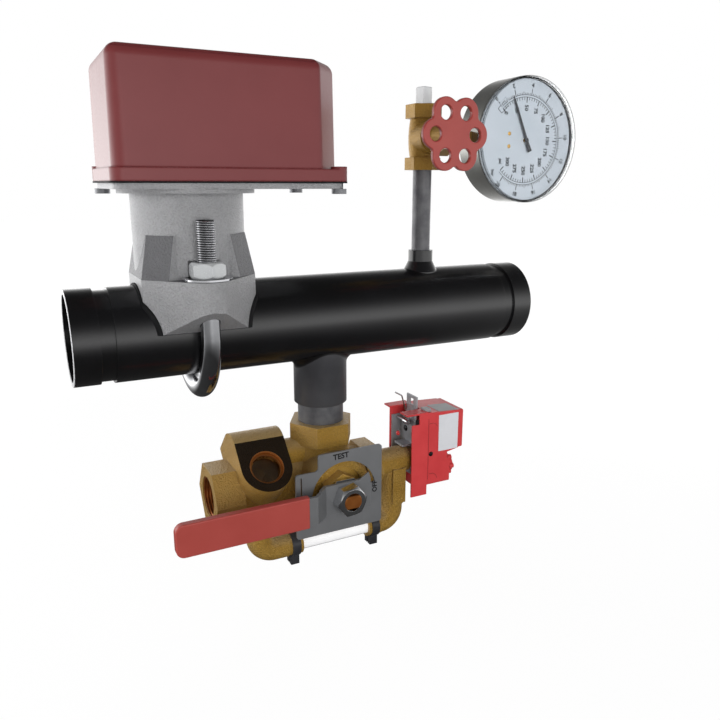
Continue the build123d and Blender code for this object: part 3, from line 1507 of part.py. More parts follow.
export_step(relief_body.part, "parts/relief_body.step")

with BuildPart() as relief_poppet:
    with BuildSketch(Plane.XZ):
        with BuildLine():
            Polyline(
                (bypass_right_x, poppet_top),
                (bypass_right_x + poppet_r - 1.2, poppet_top),
                (bypass_right_x + poppet_r, poppet_top - 1.4),
                (bypass_right_x + poppet_r, poppet_top - 3.2),
                (bypass_right_x + 1.8, poppet_top - 3.2),
                (bypass_right_x + 1.8, poppet_top - 9.0),
                (bypass_right_x, poppet_top - 9.0),
                close=True,
            )
        make_face()
    revolve(axis=Axis((bypass_right_x, 0, 0), (0, 0, 1)))
relief_poppet.part.label = "relief_poppet"
export_step(relief_poppet.part, "parts/relief_poppet.step")

with BuildPart() as bypass_right_elbow:
    right_end = tube_right + fitting_length
    with BuildLine() as right_line:
        FilletPolyline(
            (bypass_right_x, 0, relief_bottom),
            (bypass_right_x, 0, bypass_z),
            (right_end, 0, bypass_z),
            radius=elbow_bend,
        )
    with BuildSketch(Plane(origin=right_line.line @ 0, z_dir=right_line.line % 0)):
        Circle(elbow_r)
    sweep(path=right_line.line)
    # Collar under the relief body, then the grooved tail and its barb
    with BuildSketch(Plane.XY.offset(relief_bottom)):
        with Locations((bypass_right_x, 0)):
            Circle(elbow_r + 1.0)
    extrude(amount=-relief_collar)
    with BuildSketch(Plane.YZ.offset(right_end)):
        with Locations((0, bypass_z)):
            Circle(fitting_r)
    extrude(amount=-fitting_length)
    with BuildSketch(Plane.YZ.offset(tube_right + (fitting_length - clamp_width) / 2)):
        with Locations((0, bypass_z)):
            Circle(fitting_r + 1.0)
            Circle(clamp_floor_r, mode=Mode.SUBTRACT)
    extrude(amount=clamp_width, mode=Mode.SUBTRACT)
    with BuildSketch(Plane.YZ.offset(tube_right)):
        with Locations((0, bypass_z)):
            Circle(barb_r)
    extrude(amount=-barb_length)
    with BuildSketch(Plane.YZ.offset(tube_right - barb_length)):
        with Locations((0, bypass_z)):
            Circle(water_r)
    extrude(amount=right_end - tube_right + barb_length, mode=Mode.SUBTRACT)
    with BuildSketch(Plane(origin=right_line.line @ 0, z_dir=right_line.line % 0)):
        Circle(water_r)
    sweep(path=right_line.line, mode=Mode.SUBTRACT)
bypass_right_elbow.part.label = "bypass_right_elbow"
export_step(bypass_right_elbow.part, "parts/bypass_right_elbow.step")

with BuildPart() as bypass_left_elbow:
    left_end = tube_left - fitting_length
    with BuildLine() as left_line:
        FilletPolyline(
            (bypass_left_x, 0, bypass_boss_bottom),
            (bypass_left_x, 0, bypass_z),
            (left_end, 0, bypass_z),
            radius=elbow_bend,
        )
    with BuildSketch(Plane(origin=left_line.line @ 0, z_dir=left_line.line % 0)):
        Circle(elbow_r + 0.8)
    sweep(path=left_line.line)
    with BuildSketch(Plane.XY.offset(bypass_boss_bottom)):
        with Locations((bypass_left_x, 0)):
            Circle(elbow_thread_r)
    extrude(amount=8.0)
    with BuildSketch(Plane.YZ.offset(left_end)):
        with Locations((0, bypass_z)):
            Circle(fitting_r)
    extrude(amount=fitting_length)
    with BuildSketch(Plane.YZ.offset(tube_left - (fitting_length + clamp_width) / 2)):
        with Locations((0, bypass_z)):
            Circle(fitting_r + 1.0)
            Circle(clamp_floor_r, mode=Mode.SUBTRACT)
    extrude(amount=clamp_width, mode=Mode.SUBTRACT)
    with BuildSketch(Plane.YZ.offset(tube_left)):
        with Locations((0, bypass_z)):
            Circle(barb_r)
    extrude(amount=barb_length)
    with BuildSketch(Plane.YZ.offset(left_end)):
        with Locations((0, bypass_z)):
            Circle(water_r)
    extrude(amount=fitting_length + barb_length, mode=Mode.SUBTRACT)
    with BuildSketch(Plane(origin=left_line.line @ 0, z_dir=left_line.line % 0)):
        Circle(water_r)
    sweep(path=left_line.line, mode=Mode.SUBTRACT)
    with BuildSketch(Plane.XY.offset(bypass_boss_bottom)):
        with Locations((bypass_left_x, 0)):
            Circle(water_r)
    extrude(amount=8.0, mode=Mode.SUBTRACT)
bypass_left_elbow.part.label = "bypass_left_elbow"
export_step(bypass_left_elbow.part, "parts/bypass_left_elbow.step")

with BuildPart() as bypass_tube:
    with BuildSketch(Plane.YZ.offset(tube_left)):
        with Locations((0, bypass_z)):
            Circle(tube_od / 2)
            Circle(tube_bore / 2, mode=Mode.SUBTRACT)
    extrude(amount=tube_right - tube_left)
bypass_tube.part.label = "bypass_tube"
export_step(bypass_tube.part, "parts/bypass_tube.step")

with BuildPart() as hose_clamps:
    ear_height = 7.2
    ear_gap = 1.4
    for clamp_x in (tube_left - fitting_length / 2, tube_right + fitting_length / 2):
        with BuildSketch(Plane.YZ.offset(clamp_x - clamp_width / 2)):
            with Locations((0, bypass_z)):
                Circle(clamp_r)
            with Locations((0, bypass_z - clamp_r - ear_height / 2 + 1.0)):
                Rectangle(9.0, ear_height)
            with Locations((0, bypass_z)):
                Circle(clamp_floor_r + thread_gap, mode=Mode.SUBTRACT)
            with Locations((0, bypass_z - clamp_r - ear_height / 2)):
                Rectangle(ear_gap, ear_height + 4.0, mode=Mode.SUBTRACT)
        extrude(amount=clamp_width)
hose_clamps.part.label = "hose_clamps"
export_step(hose_clamps.part, "parts/hose_clamps.step")


# Supervisory switch, bolted to the relief body
housing_half = 17.0
housing_right = 285.4
housing_lid = 4.0
housing_shelf = -116.5
housing_foot_x = 273.4
housing_bottom = -141.8
trip_pivot_z = -92.0
trip_x = 243.0
trip_y = 2.0
trip_pin_r = 1.0
thumb_knob_y = -8.0
thumb_knob_r = 7.4
thumb_knob_thickness = 4.0
frame_half = bracket_half_width - bracket_gauge
frame_bottom = -137.0
frame_top = -90.0

with BuildPart() as switch_bracket:
    # A red channel, open towards the relief body, with two flaps turned in at its top
    with BuildSketch(Plane.XY.offset(bracket_bottom)):
        with BuildLine():
            Polyline(
                (bracket_x0, -bracket_half_width),
                (bracket_x1, -bracket_half_width),
                (bracket_x1, bracket_half_width),
                (bracket_x0, bracket_half_width),
                (bracket_x0, bracket_half_width - bracket_gauge),
                (bracket_x1 - bracket_gauge, bracket_half_width - bracket_gauge),
                (bracket_x1 - bracket_gauge, -bracket_half_width + bracket_gauge),
                (bracket_x0, -bracket_half_width + bracket_gauge),
                close=True,
            )
        make_face()
    extrude(amount=bracket_top - bracket_bottom)
    # The front corner is cut away beside its flap
    with BuildSketch(facing_plane(bracket_x0, 0, bracket_half_width)):
        with Locations((0, bracket_top)):
            Rectangle(bracket_x1 - bracket_x0 - bracket_gauge, 2 * (bracket_top - flange_top))
    extrude(amount=-bracket_gauge, mode=Mode.SUBTRACT)
    with BuildSketch(Plane.XY.offset(bracket_top)):
        with Locations((bracket_x1 - 9.6, -bracket_half_width + 5.4)):
            Rectangle(19.2, 10.8)
        with Locations((bracket_x1 - 9.6, bracket_half_width - 4.5)):
            Rectangle(19.2, 9.0)
    extrude(amount=-bracket_gauge)
switch_bracket.part.label = "switch_bracket"
export_step(switch_bracket.part, "parts/switch_bracket.step")

with BuildPart() as switch_frame:
    # The steel channel inside the bracket, its bearing tab, top tab and the trip wire's pin
    with BuildSketch(Plane.XY.offset(frame_bottom)):
        with BuildLine():
            Polyline(
                (bracket_x0 + 1.0, frame_half),
                (bracket_x0 + 1.0, frame_half - bracket_gauge),
                (web_x, frame_half - bracket_gauge),
                (web_x, -frame_half + 3.0),
                (web_x + bracket_gauge, -frame_half + 3.0),
                (web_x + bracket_gauge, frame_half),
                close=True,
            )
        make_face()
    extrude(amount=frame_top - frame_bottom)
    with BuildSketch(Plane.YZ.offset(web_x + bracket_gauge)):
        with Locations((0.8, -87.0)):
            Rectangle(14.8, 32.8)
        with Locations((0.8, -75.6)):
            Rectangle(5.6, 5.2, mode=Mode.SUBTRACT)
    extrude(amount=bracket_gauge)
    with BuildSketch(Plane.YZ.offset(web_x + bracket_gauge)):
        with Locations((0.8, -98.0), (0, switch_mount_z)):
            Rectangle(10.0, 10.0)
    extrude(amount=bracket_x1 - 2 * bracket_gauge - web_x)
    with BuildSketch(Plane.XY.offset(valve_z + relief_r + seat_gap)):
        with Locations((web_x - 4.6, 2.5)):
            Rectangle(9.2, 12.2)
    extrude(amount=1.6)
    with BuildSketch(facing_plane(trip_x, trip_pivot_z, -frame_half + bracket_gauge / 2)):
        Circle(trip_pin_r)
    extrude(amount=frame_half - bracket_gauge + 3.0)
switch_frame.part.label = "switch_frame"
export_step(switch_frame.part, "parts/switch_frame.step")

with BuildPart() as switch_housing:
    with BuildSketch(facing_plane(0, 0, housing_half)):
        with BuildLine():
            Polyline(
                (bracket_x1, bracket_top - 1.0),
                (housing_right - housing_lid, bracket_top - 2.6),
                (housing_right - housing_lid, housing_shelf + 2.0),
                (housing_foot_x - 2.6, housing_shelf),
                (housing_foot_x - 2.6, housing_shelf - 5.0),
                (housing_foot_x, housing_shelf - 8.0),
                (housing_foot_x, housing_bottom),
                (bracket_x1, housing_bottom),
                close=True,
            )
        make_face()
    extrude(amount=-2 * housing_half)
    fillet(switch_housing.edges().filter_by(Axis.X), 1.2)
switch_housing.part.label = "switch_housing"
export_step(switch_housing.part, "parts/switch_housing.step")

with BuildPart() as switch_lid:
    lid_top = bracket_top - 2.6
    lid_bottom = housing_shelf + 2.0
    with BuildSketch(Plane.YZ.offset(housing_right - housing_lid)):
        with Locations((0, (lid_top + lid_bottom) / 2)):
            RectangleRounded(2 * housing_half, lid_top - lid_bottom, 1.4)
    extrude(amount=housing_lid)
    fillet(switch_lid.faces().sort_by(Axis.X)[-1].edges(), 1.0)
switch_lid.part.label = "switch_lid"
export_step(switch_lid.part, "parts/switch_lid.step")

with BuildPart() as thumb_knob:
    with BuildSketch(Plane.YZ.offset(housing_foot_x + seat_gap)):
        with Locations((thumb_knob_y, switch_mount_z)):
            Circle(thumb_knob_r)
            with PolarLocations(thumb_knob_r - 0.4, 6):
                Circle(2.2)
    extrude(amount=thumb_knob_thickness)
thumb_knob.part.label = "thumb_knob"
export_step(thumb_knob.part, "parts/thumb_knob.step")

with BuildPart() as trip_wire:
    # A spring wire on the frame's pin, which leans out over the relief body
    with BuildLine() as wire_line:
        FilletPolyline(
            (trip_x, trip_y, trip_pivot_z),
            (trip_x, trip_y, -84.0),
            (238.8, trip_y, -70.0),
            (232.6, trip_y, -66.4),
            radius=1.6,
        )
    with BuildSketch(Plane(origin=wire_line.line @ 0, z_dir=wire_line.line % 0)):
        Circle(0.6)
    sweep(path=wire_line.line)
    with BuildSketch(facing_plane(trip_x, trip_pivot_z, 2.0)):
        Circle(trip_pin_r + 1.2)
    extrude(amount=-6.0)
    with BuildSketch(facing_plane(trip_x, trip_pivot_z, 3.0)):
        Circle(trip_pin_r + running_gap)
    extrude(amount=-8.0, mode=Mode.SUBTRACT)
trip_wire.part.label = "trip_wire"
export_step(trip_wire.part, "parts/trip_wire.step")
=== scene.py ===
# %% [markdown]
# A sprinkler floor control assembly, dressed for its portrait. The solids come in as a fixed
# frame: a black header pipe with a flow switch, a pressure gauge and a test and drain valve.
# Each cell below adds one finish or one piece, in metres, in the frame's own coordinates.

# %% Load the frame
import math

import bmesh
import bpy
import numpy as np
from mathutils import Matrix, Vector


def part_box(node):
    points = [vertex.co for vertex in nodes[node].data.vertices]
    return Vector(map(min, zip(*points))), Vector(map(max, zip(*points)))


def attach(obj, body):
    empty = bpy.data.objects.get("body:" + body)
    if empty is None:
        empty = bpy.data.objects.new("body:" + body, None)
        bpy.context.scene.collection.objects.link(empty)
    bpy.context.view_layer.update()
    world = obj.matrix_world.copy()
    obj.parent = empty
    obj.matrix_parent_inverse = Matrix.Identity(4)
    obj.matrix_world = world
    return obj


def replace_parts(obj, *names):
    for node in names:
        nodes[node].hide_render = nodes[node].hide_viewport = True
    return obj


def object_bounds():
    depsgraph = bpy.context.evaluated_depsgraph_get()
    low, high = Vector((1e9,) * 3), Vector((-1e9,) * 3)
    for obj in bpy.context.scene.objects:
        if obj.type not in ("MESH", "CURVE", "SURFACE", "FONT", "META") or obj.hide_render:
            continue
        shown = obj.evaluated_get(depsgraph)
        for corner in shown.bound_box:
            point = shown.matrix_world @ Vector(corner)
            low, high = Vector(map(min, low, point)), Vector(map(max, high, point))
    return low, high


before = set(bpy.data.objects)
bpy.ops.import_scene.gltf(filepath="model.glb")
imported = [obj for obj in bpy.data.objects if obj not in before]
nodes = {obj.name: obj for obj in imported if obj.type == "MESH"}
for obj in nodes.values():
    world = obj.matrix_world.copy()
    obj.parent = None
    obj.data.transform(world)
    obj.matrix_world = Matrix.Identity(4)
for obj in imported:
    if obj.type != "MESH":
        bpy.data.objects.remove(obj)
cad_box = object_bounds()

# %% [markdown]
# Sizes are easier to read in millimetres, as on a pipe fitter's drawing, so one factor turns
# them into metres. The places that the new pieces hang on are read from the solids' boxes
# where a box can give them, and otherwise named here once. The dial's box reaches out to a
# small raised stop, so its face lies that stop's height behind the box.

# %% Places and sizes
MM = 0.001


def corners(node):
    """The lowest and highest corner of a solid, as two arrays in millimetres."""
    low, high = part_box(node)
    return np.array(low) / MM, np.array(high) / MM


def middle(node):
    """The centre of a solid's box, in millimetres."""
    low, high = corners(node)
    return (low + high) / 2


STOP_BOX_RISE = 0.5
GAUGE = middle("gauge_lens")
DIAL = np.array([GAUGE[0], corners("gauge_dial")[0][1] + STOP_BOX_RISE, GAUGE[2]])
DRAIN_X = middle("drain_pipe")[0]
HEADER_R = 30.15
VALVE = np.array([DRAIN_X, 0.0, -122.0])
PLATE_Y = corners("indicator_plate")[0][1]
print("gauge centre", GAUGE.round(1), "plate front", round(float(PLATE_Y), 1))

# %% [markdown]
# The camera stands where the photographer's stood: a little above the header, looking down
# and to the right. Its place was solved from the pipe's outline, so the lens, the height and
# the three angles below belong together. The three axes are the camera's own right, up and
# forward directions.

# %% Camera
FOCAL_PIXELS = 691.31
IMAGE_PIXELS = 720
SENSOR_MM = 36.0
CAMERA_PLACE = Vector((-29.4, -447.4, 92.0)) * MM
YAW, PITCH, ROLL = math.radians(27.21), math.radians(-14.31), math.radians(0.09)


def add_camera():
    """A camera whose axes are turned by yaw, then pitch, then a trace of roll."""
    data = bpy.data.cameras.new("portrait")
    data.sensor_width = SENSOR_MM
    data.lens = SENSOR_MM * FOCAL_PIXELS / IMAGE_PIXELS
    data.clip_start = 0.01
    camera = bpy.data.objects.new("portrait", data)
    bpy.context.scene.collection.objects.link(camera)
    forward = Vector((math.sin(YAW) * math.cos(PITCH), math.cos(YAW) * math.cos(PITCH), math.sin(PITCH)))
    level = Vector((math.cos(YAW), -math.sin(YAW), 0))
    up = level.cross(forward)
    right = math.cos(ROLL) * level + math.sin(ROLL) * up
    up = right.cross(forward)
    turn = Matrix((right, up, -forward)).transposed()
    camera.matrix_world = Matrix.Translation(CAMERA_PLACE) @ turn.to_4x4()
    bpy.context.scene.camera = camera
    return camera


print("lens", round(add_camera().data.lens, 2), "mm")

# %% [markdown]
# The light is a plain studio. A wide soft box in front lights the faces that the camera sees,
# and small ones at the back whiten the edges turned that way, as in the photograph. Gloss
# doesn't see the lamps. It sees a band of light along the horizon, brighter behind the object
# than in front of it, that fades into dark above and below, and a floor that grows bright
# with distance: that is what draws the long bands on the black pipe and darkens every face
# that is tilted up.

# %% Studio
HORIZON_DIP, BAND_HALF = -0.02, 0.36
FRONT_LEFT, BACK_LEFT, BACK_RIGHT = 0.6, 2.4, 1.8
BAND_LIGHT, WALL_LIGHT, FILL_LIGHT = 1.15, 0.04, 0.3
FLOOR_DROP, FLOOR_REACH, FLOOR_OWN, FLOOR_NEAR, FLOOR_GLOSS = 0.03, 6.0, 0.06, 0.94, 1.1
WHITE = (1, 1, 1, 1)
LAMPS = {
    "front_softbox": ((0.0, -1.3, 0.15), (0.17, 0, 0.0), 0.8, 14.0),
    "top_softbox": ((0.05, 0.25, 1.25), (0.17, 0, 0.0), 0.9, 1.5),
    "left_softbox": ((-0.95, -0.05, 0.2), (0.15, 0, 0.0), 0.7, 6.0),
    "back_left_rim": ((-0.75, 0.75, 0.15), (0.1, 0, 0.03), 0.6, 6.0),
    "back_right_rim": ((1.05, 0.6, 0.1), (0.2, 0, 0.0), 0.6, 5.0),
}


def add_lamp(name, place, aim, size, watts):
    """A square area lamp at a place, turned so that it looks at its aim."""
    data = bpy.data.lights.new(name, "AREA")
    data.size = size
    data.energy = watts
    lamp = bpy.data.objects.new(name, data)
    bpy.context.scene.collection.objects.link(lamp)
    turn = (Vector(aim) - Vector(place)).to_track_quat("-Z", "Y").to_matrix().to_4x4()
    lamp.matrix_world = Matrix.Translation(Vector(place)) @ turn
    lamp.visible_glossy = False


for lamp_name, settings in LAMPS.items():
    add_lamp(lamp_name, *settings)


def feed(tree, slot, value):
    """Fills an input: a socket is linked to it, and anything else becomes its value."""
    if isinstance(value, bpy.types.NodeSocket):
        tree.links.new(value, slot)
    else:
        slot.default_value = value


def chain(tree, kind, operation=None, **values):
    """A new node whose inputs are fed by name, or by place as i0, i1 and so on."""
    node = tree.nodes.new(kind)
    if operation:
        node.operation = operation
    for key, value in values.items():
        slot = int(key[1:]) if key[0] == "i" and key[1:].isdigit() else key.replace("_", " ")
        feed(tree, node.inputs[slot], value)
    return node


def work(tree, operation, *values):
    """The result of one sum whose terms are sockets or numbers."""
    terms = {f"i{place}": value for place, value in enumerate(values)}
    return chain(tree, "ShaderNodeMath", operation, **terms).outputs[0]


def axes(tree, vector):
    """The three parts of a vector: x, y and z."""
    return chain(tree, "ShaderNodeSeparateXYZ", i0=vector).outputs[:3]


def object_axes(tree):
    """Where a point lies in its piece's own frame: x, y and z in metres."""
    return axes(tree, tree.nodes.new("ShaderNodeTexCoord").outputs["Object"])


def seen_white(tree):
    """One for the rays that find plain white, the camera's and those through glass; and the gloss rays."""
    path = tree.nodes.new("ShaderNodeLightPath").outputs
    return work(tree, "MAXIMUM", path["Is Camera Ray"], path["Is Transmission Ray"]), path["Is Glossy Ray"]


def ramp(tree, value, start, end, low=0.0, high=1.0):
    """A straight ramp of a value between two limits."""
    limits = {"From_Min": start, "From_Max": end, "To_Min": low, "To_Max": high}
    return chain(tree, "ShaderNodeMapRange", Value=value, **limits).outputs["Result"]


def blend(tree, factor, first, second):
    """A mix of two values; each is a socket or a number."""
    return chain(tree, "ShaderNodeMix", Factor=factor, A=first, B=second).outputs["Result"]


def hump(tree, value, centre, half_width):
    """One at the centre and falling off both ways: exp(-(distance / half width) ^ 2)."""
    away = work(tree, "ABSOLUTE", work(tree, "SUBTRACT", value, centre))
    square = work(tree, "POWER", work(tree, "DIVIDE", away, half_width), 2.0)
    return work(tree, "EXPONENT", work(tree, "MULTIPLY", square, -1.0))


def round_about(tree, east, north):
    """How bright the band is by compass: dim at the front left, bright behind."""
    front = ramp(tree, east, -0.35, 0.1, FRONT_LEFT, 1.0)
    back = ramp(tree, east, -0.4, 0.4, BACK_LEFT, BACK_RIGHT)
    return blend(tree, ramp(tree, north, -0.1, 0.4), front, back)


def add_world():
    """White to the camera and through glass, a band at the horizon to gloss, a low fill elsewhere."""
    world = bpy.data.worlds.new("studio")
    bpy.context.scene.world = world
    world.use_nodes = True
    tree = world.node_tree
    tree.nodes.clear()
    east, north, rise = axes(tree, tree.nodes.new("ShaderNodeTexCoord").outputs["Generated"])
    here = work(tree, "MULTIPLY", round_about(tree, east, north), BAND_LIGHT)
    level = blend(tree, hump(tree, rise, HORIZON_DIP, BAND_HALF), WALL_LIGHT, here)
    white, glossy = seen_white(tree)
    strength = blend(tree, white, blend(tree, glossy, FILL_LIGHT, level), 1.0)
    background = chain(tree, "ShaderNodeBackground", Color=WHITE, Strength=strength)
    chain(tree, "ShaderNodeOutputWorld", Surface=background.outputs[0])


def add_floor():
    """A pale floor below the object: white to the camera, a ring of light to gloss, a low fill elsewhere."""
    z = cad_box[0][2] - FLOOR_DROP
    square = [(x * FLOOR_REACH, y * FLOOR_REACH, z) for x, y in ((-1, -1), (1, -1), (1, 1), (-1, 1))]
    data = bpy.data.meshes.new("floor")
    data.from_pydata(square, [], [(0, 1, 2, 3)])
    floor = bpy.data.objects.new("floor", data)
    bpy.context.scene.collection.objects.link(floor)
    pale = bpy.data.materials.new("pale_floor")
    pale.use_nodes = True
    tree = pale.node_tree
    place = tree.nodes.new("ShaderNodeTexCoord").outputs["Object"]
    distance = chain(tree, "ShaderNodeVectorMath", "LENGTH", i0=place).outputs["Value"]
    compass = chain(tree, "ShaderNodeVectorMath", "NORMALIZE", i0=place).outputs[0]
    east, north, _ = axes(tree, compass)
    ring = ramp(tree, distance, 0.4, 1.8, 0.0, FLOOR_GLOSS)
    lit = work(tree, "MULTIPLY", ring, round_about(tree, east, north))
    white, glossy = seen_white(tree)
    near_to_far = ramp(tree, distance, 0.6, 2.0, FLOOR_NEAR, 1.0)
    shades = {"Base Color": (FLOOR_OWN, FLOOR_OWN, FLOOR_OWN, 1), "Roughness": 0.9, "Specular IOR Level": 0.1,
              "Emission Color": WHITE,
              "Emission Strength": blend(tree, white, blend(tree, glossy, FILL_LIGHT, lit), near_to_far)}
    for name, value in shades.items():
        feed(tree, tree.nodes["Principled BSDF"].inputs[name], value)
    data.materials.append(pale)


add_world()
add_floor()
bpy.context.scene.view_settings.view_transform = "Standard"
print("lamps:", len(LAMPS))

# %% [markdown]
# Nearly every surface here is cast, painted or turned metal, and they share three effects:
# a soft bright edge where tools and hands have rubbed, a fine grain from the sand or the
# spray gun, and slow blotches of colour. They are one node group, so that each finish can
# place it with its own numbers. The bevel node rounds the look of a sharp edge, and the dot
# product of the rounded and the true normal tells where an edge is.

# %% The shared surface group
def build_surface_group():
    """Worn edges, grain and blotches. Grain is a height in millimetres that turns the normal."""
    group = bpy.data.node_groups.new("worked_surface", "ShaderNodeTree")
    socket = group.interface.new_socket
    for name, value in (("Edge", 0.35), ("Grain Size", 0.8), ("Grain Height", 0.04), ("Blotch Size", 12.0)):
        socket(name=name, in_out="INPUT", socket_type="NodeSocketFloat").default_value = value
    for name, kind in (("Normal", "Vector"), ("Edge Wear", "Float"), ("Grain", "Float"), ("Blotch", "Float")):
        socket(name=name, in_out="OUTPUT", socket_type=f"NodeSocket{kind}")
    given = group.nodes.new("NodeGroupInput").outputs
    out = group.nodes.new("NodeGroupOutput").inputs
    place = group.nodes.new("ShaderNodeTexCoord").outputs["Object"]

    def noise(size, detail, roughness):
        """Noise whose features are about the given size in millimetres."""
        per_metre = work(group, "DIVIDE", 1 / MM, given[size])
        settings = {"Detail": detail, "Roughness": roughness, "Vector": place, "Scale": per_metre}
        return chain(group, "ShaderNodeTexNoise", **settings).outputs["Fac"]

    grain = noise("Grain Size", 3.0, 0.6)
    blotch = noise("Blotch Size", 4.0, 0.55)
    bevel = chain(group, "ShaderNodeBevel", Radius=work(group, "MULTIPLY", given["Edge"], MM))
    bevel.samples = 4
    rounded = bevel.outputs[0]
    height = work(group, "MULTIPLY", given["Grain Height"], MM)
    bump = chain(group, "ShaderNodeBump", Strength=1.0, Distance=height, Height=grain, Normal=rounded)
    true = group.nodes.new("ShaderNodeNewGeometry").outputs["True Normal"]
    same = chain(group, "ShaderNodeVectorMath", "DOT_PRODUCT", i0=rounded, i1=true).outputs["Value"]
    feed(group, out["Normal"], bump.outputs[0])
    feed(group, out["Edge Wear"], ramp(group, same, 0.995, 0.88))
    feed(group, out["Grain"], grain)
    feed(group, out["Blotch"], ramp(group, blotch, 0.35, 0.65))
    return group


surface_group = build_surface_group()
print("surface group sockets:", len(surface_group.interface.items_tree))

# %% [markdown]
# A finish is then a short recipe: two colours that the blotches mix, a colour for the worn
# edge, and the shader's own even values. Colours are written as they would be read off a
# paint chart, 0 to 255, and turned into the linear light that a renderer wants. Where part of
# a piece looks different, a mask lays another value over the finish.

# %% Finishes by recipe
def paint(red, green, blue):
    """A paint-chart colour as linear light, by the usual screen curve."""
    chart = np.array([red, green, blue]) / 255
    light = np.where(chart <= 0.04045, chart / 12.92, ((chart + 0.055) / 1.055) ** 2.4)
    return (*light.tolist(), 1.0)


def mix_colour(tree, factor, first, second):
    """A colour mix; each end is a socket or a colour."""
    node = tree.nodes.new("ShaderNodeMix")
    node.data_type = "RGBA"
    for slot, value in zip((0, 6, 7), (factor, first, second)):
        feed(tree, node.inputs[slot], value)
    return node.outputs[2]


def blank(name):
    """A new material and its main shader's inputs."""
    material = bpy.data.materials.new(name)
    material.use_nodes = True
    return material, material.node_tree.nodes["Principled BSDF"].inputs


def place_group(tree, edge, grain, height, blotch):
    """The outputs of the shared group, placed in a material with its own sizes in millimetres."""
    effect = tree.nodes.new("ShaderNodeGroup")
    effect.node_tree = surface_group
    effect.name = "worked_surface"
    sizes = {"Edge": edge, "Grain Size": grain, "Grain Height": height, "Blotch Size": blotch}
    for name, value in sizes.items():
        effect.inputs[name].default_value = value
    return effect.outputs


def finish(name, colour, second, worn, wear=0.5, edge=0.35, grain=0.8, height=0.04, blotch=12.0, speck=0.0,
           metallic=0.0, roughness=0.4, spread=0.08, coat=0.0, specular=0.5):
    """A painted, cast or turned surface: blotched colour, worn edge, grain in the normal."""
    material, shader = blank(name)
    tree = material.node_tree
    effect = place_group(tree, edge, grain, height, blotch)
    body = mix_colour(tree, effect["Blotch"], paint(*colour), paint(*second))
    if speck:
        shade = ramp(tree, effect["Grain"], 0.35, 0.65, 1 - speck, 1 + speck)
        body = chain(tree, "ShaderNodeVectorMath", "SCALE", i0=body, Scale=shade).outputs[0]
    rubbed = work(tree, "MULTIPLY", effect["Edge Wear"], wear)
    settings = {"Base Color": mix_colour(tree, rubbed, body, paint(*worn)),
                "Roughness": ramp(tree, effect["Grain"], 0.0, 1.0, roughness - spread, roughness + spread),
                "Normal": effect["Normal"], "Metallic": metallic, "Coat Weight": coat, "Coat Roughness": 0.15,
                "Specular IOR Level": specular}
    for socket, value in settings.items():
        feed(tree, shader[socket], value)
    return material


def overlay(material, socket, mask, value):
    """Lays a value, or a colour off the chart, over one input of a finish where a mask is one."""
    tree = material.node_tree
    slot = tree.nodes["Principled BSDF"].inputs[socket]
    below = slot.links[0].from_socket if slot.is_linked else slot.default_value
    if socket == "Base Color":
        over = value if isinstance(value, bpy.types.NodeSocket) else paint(*value)
        feed(tree, slot, mix_colour(tree, mask, below, over))
    else:
        feed(tree, slot, blend(tree, mask, below, value))


def dress(material, *names):
    """Gives a finish to the solids or pieces of these names."""
    for name in names:
        piece = nodes.get(name) or bpy.data.objects[name]
        piece.data.materials.clear()
        piece.data.materials.append(material)


# %% [markdown]
# The header and its welded outlets are black lacquered pipe. The lacquer is nearly black with
# a soft sheen, so the shape is drawn by reflections alone. The cut end at the inlet is bare
# steel; a mask on the distance along the pipe uncovers it. The drain coupling has lacquer on
# its weld only, and the two nipples are plain grey steel.

# %% Black pipe
LACQUER_LOW, LACQUER_CURVE = -35.8, 0.0307
CUT_RIM = 0.35


def black_pipe():
    """Black lacquer with a bare cut rim in the first third of a millimetre of the pipe."""
    material = finish("black_pipe", (6, 6, 7), (12, 12, 14), (60, 60, 62), wear=0.3, grain=1.6, height=0.0012,
                      blotch=30, roughness=0.24, spread=0.03, specular=1.0)
    tree = material.node_tree
    along, _, _ = object_axes(tree)
    overlay(material, "Base Color", work(tree, "LESS_THAN", along, CUT_RIM * MM), (205, 205, 208))
    return material


dress(black_pipe(), "header_pipe")


def lacquered_coupling():
    """Grey pipe, black where z lies above a low edge plus a curve times y squared."""
    material = finish("coupling_grey", (58, 58, 61), (67, 67, 70), (120, 120, 122), wear=0.3, grain=1.2,
                      height=0.004, blotch=22, metallic=0.3, roughness=0.36)
    tree = material.node_tree
    _, across, rise = object_axes(tree)
    square = work(tree, "POWER", across, 2.0)
    edge = work(tree, "MULTIPLY_ADD", square, LACQUER_CURVE / MM, LACQUER_LOW * MM)
    above = work(tree, "GREATER_THAN", rise, edge)
    overlay(material, "Base Color", above, (10, 10, 11))
    overlay(material, "Metallic", above, 0.0)
    return material


dress(finish("nipple_steel", (86, 86, 89), (108, 108, 110), (150, 150, 152), wear=0.4, grain=2.5, height=0.02,
             blotch=9, metallic=0.55, roughness=0.42), "drain_pipe", "gauge_pipe")
print("pipe finishes ready")

# %% [markdown]
# The flow switch stands on a sand-cast aluminium saddle. Its skin is a fine even sand grain,
# pale and quite matt, with painted shade darkening the faces that look up even a little. The
# steel fasteners are bright zinc, and the rubber is dull black.

# %% Casting, rubber and plated steel
def tint(material, axis, start, end, colour, amount):
    """Painted light and shade: mixes a colour into the faces whose true normal lies along an axis."""
    tree = material.node_tree
    normal = axes(tree, tree.nodes.new("ShaderNodeNewGeometry").outputs["True Normal"])
    turned = ramp(tree, normal["XYZ".index(axis)], start, end)
    overlay(material, "Base Color", work(tree, "MULTIPLY", turned, amount), colour)


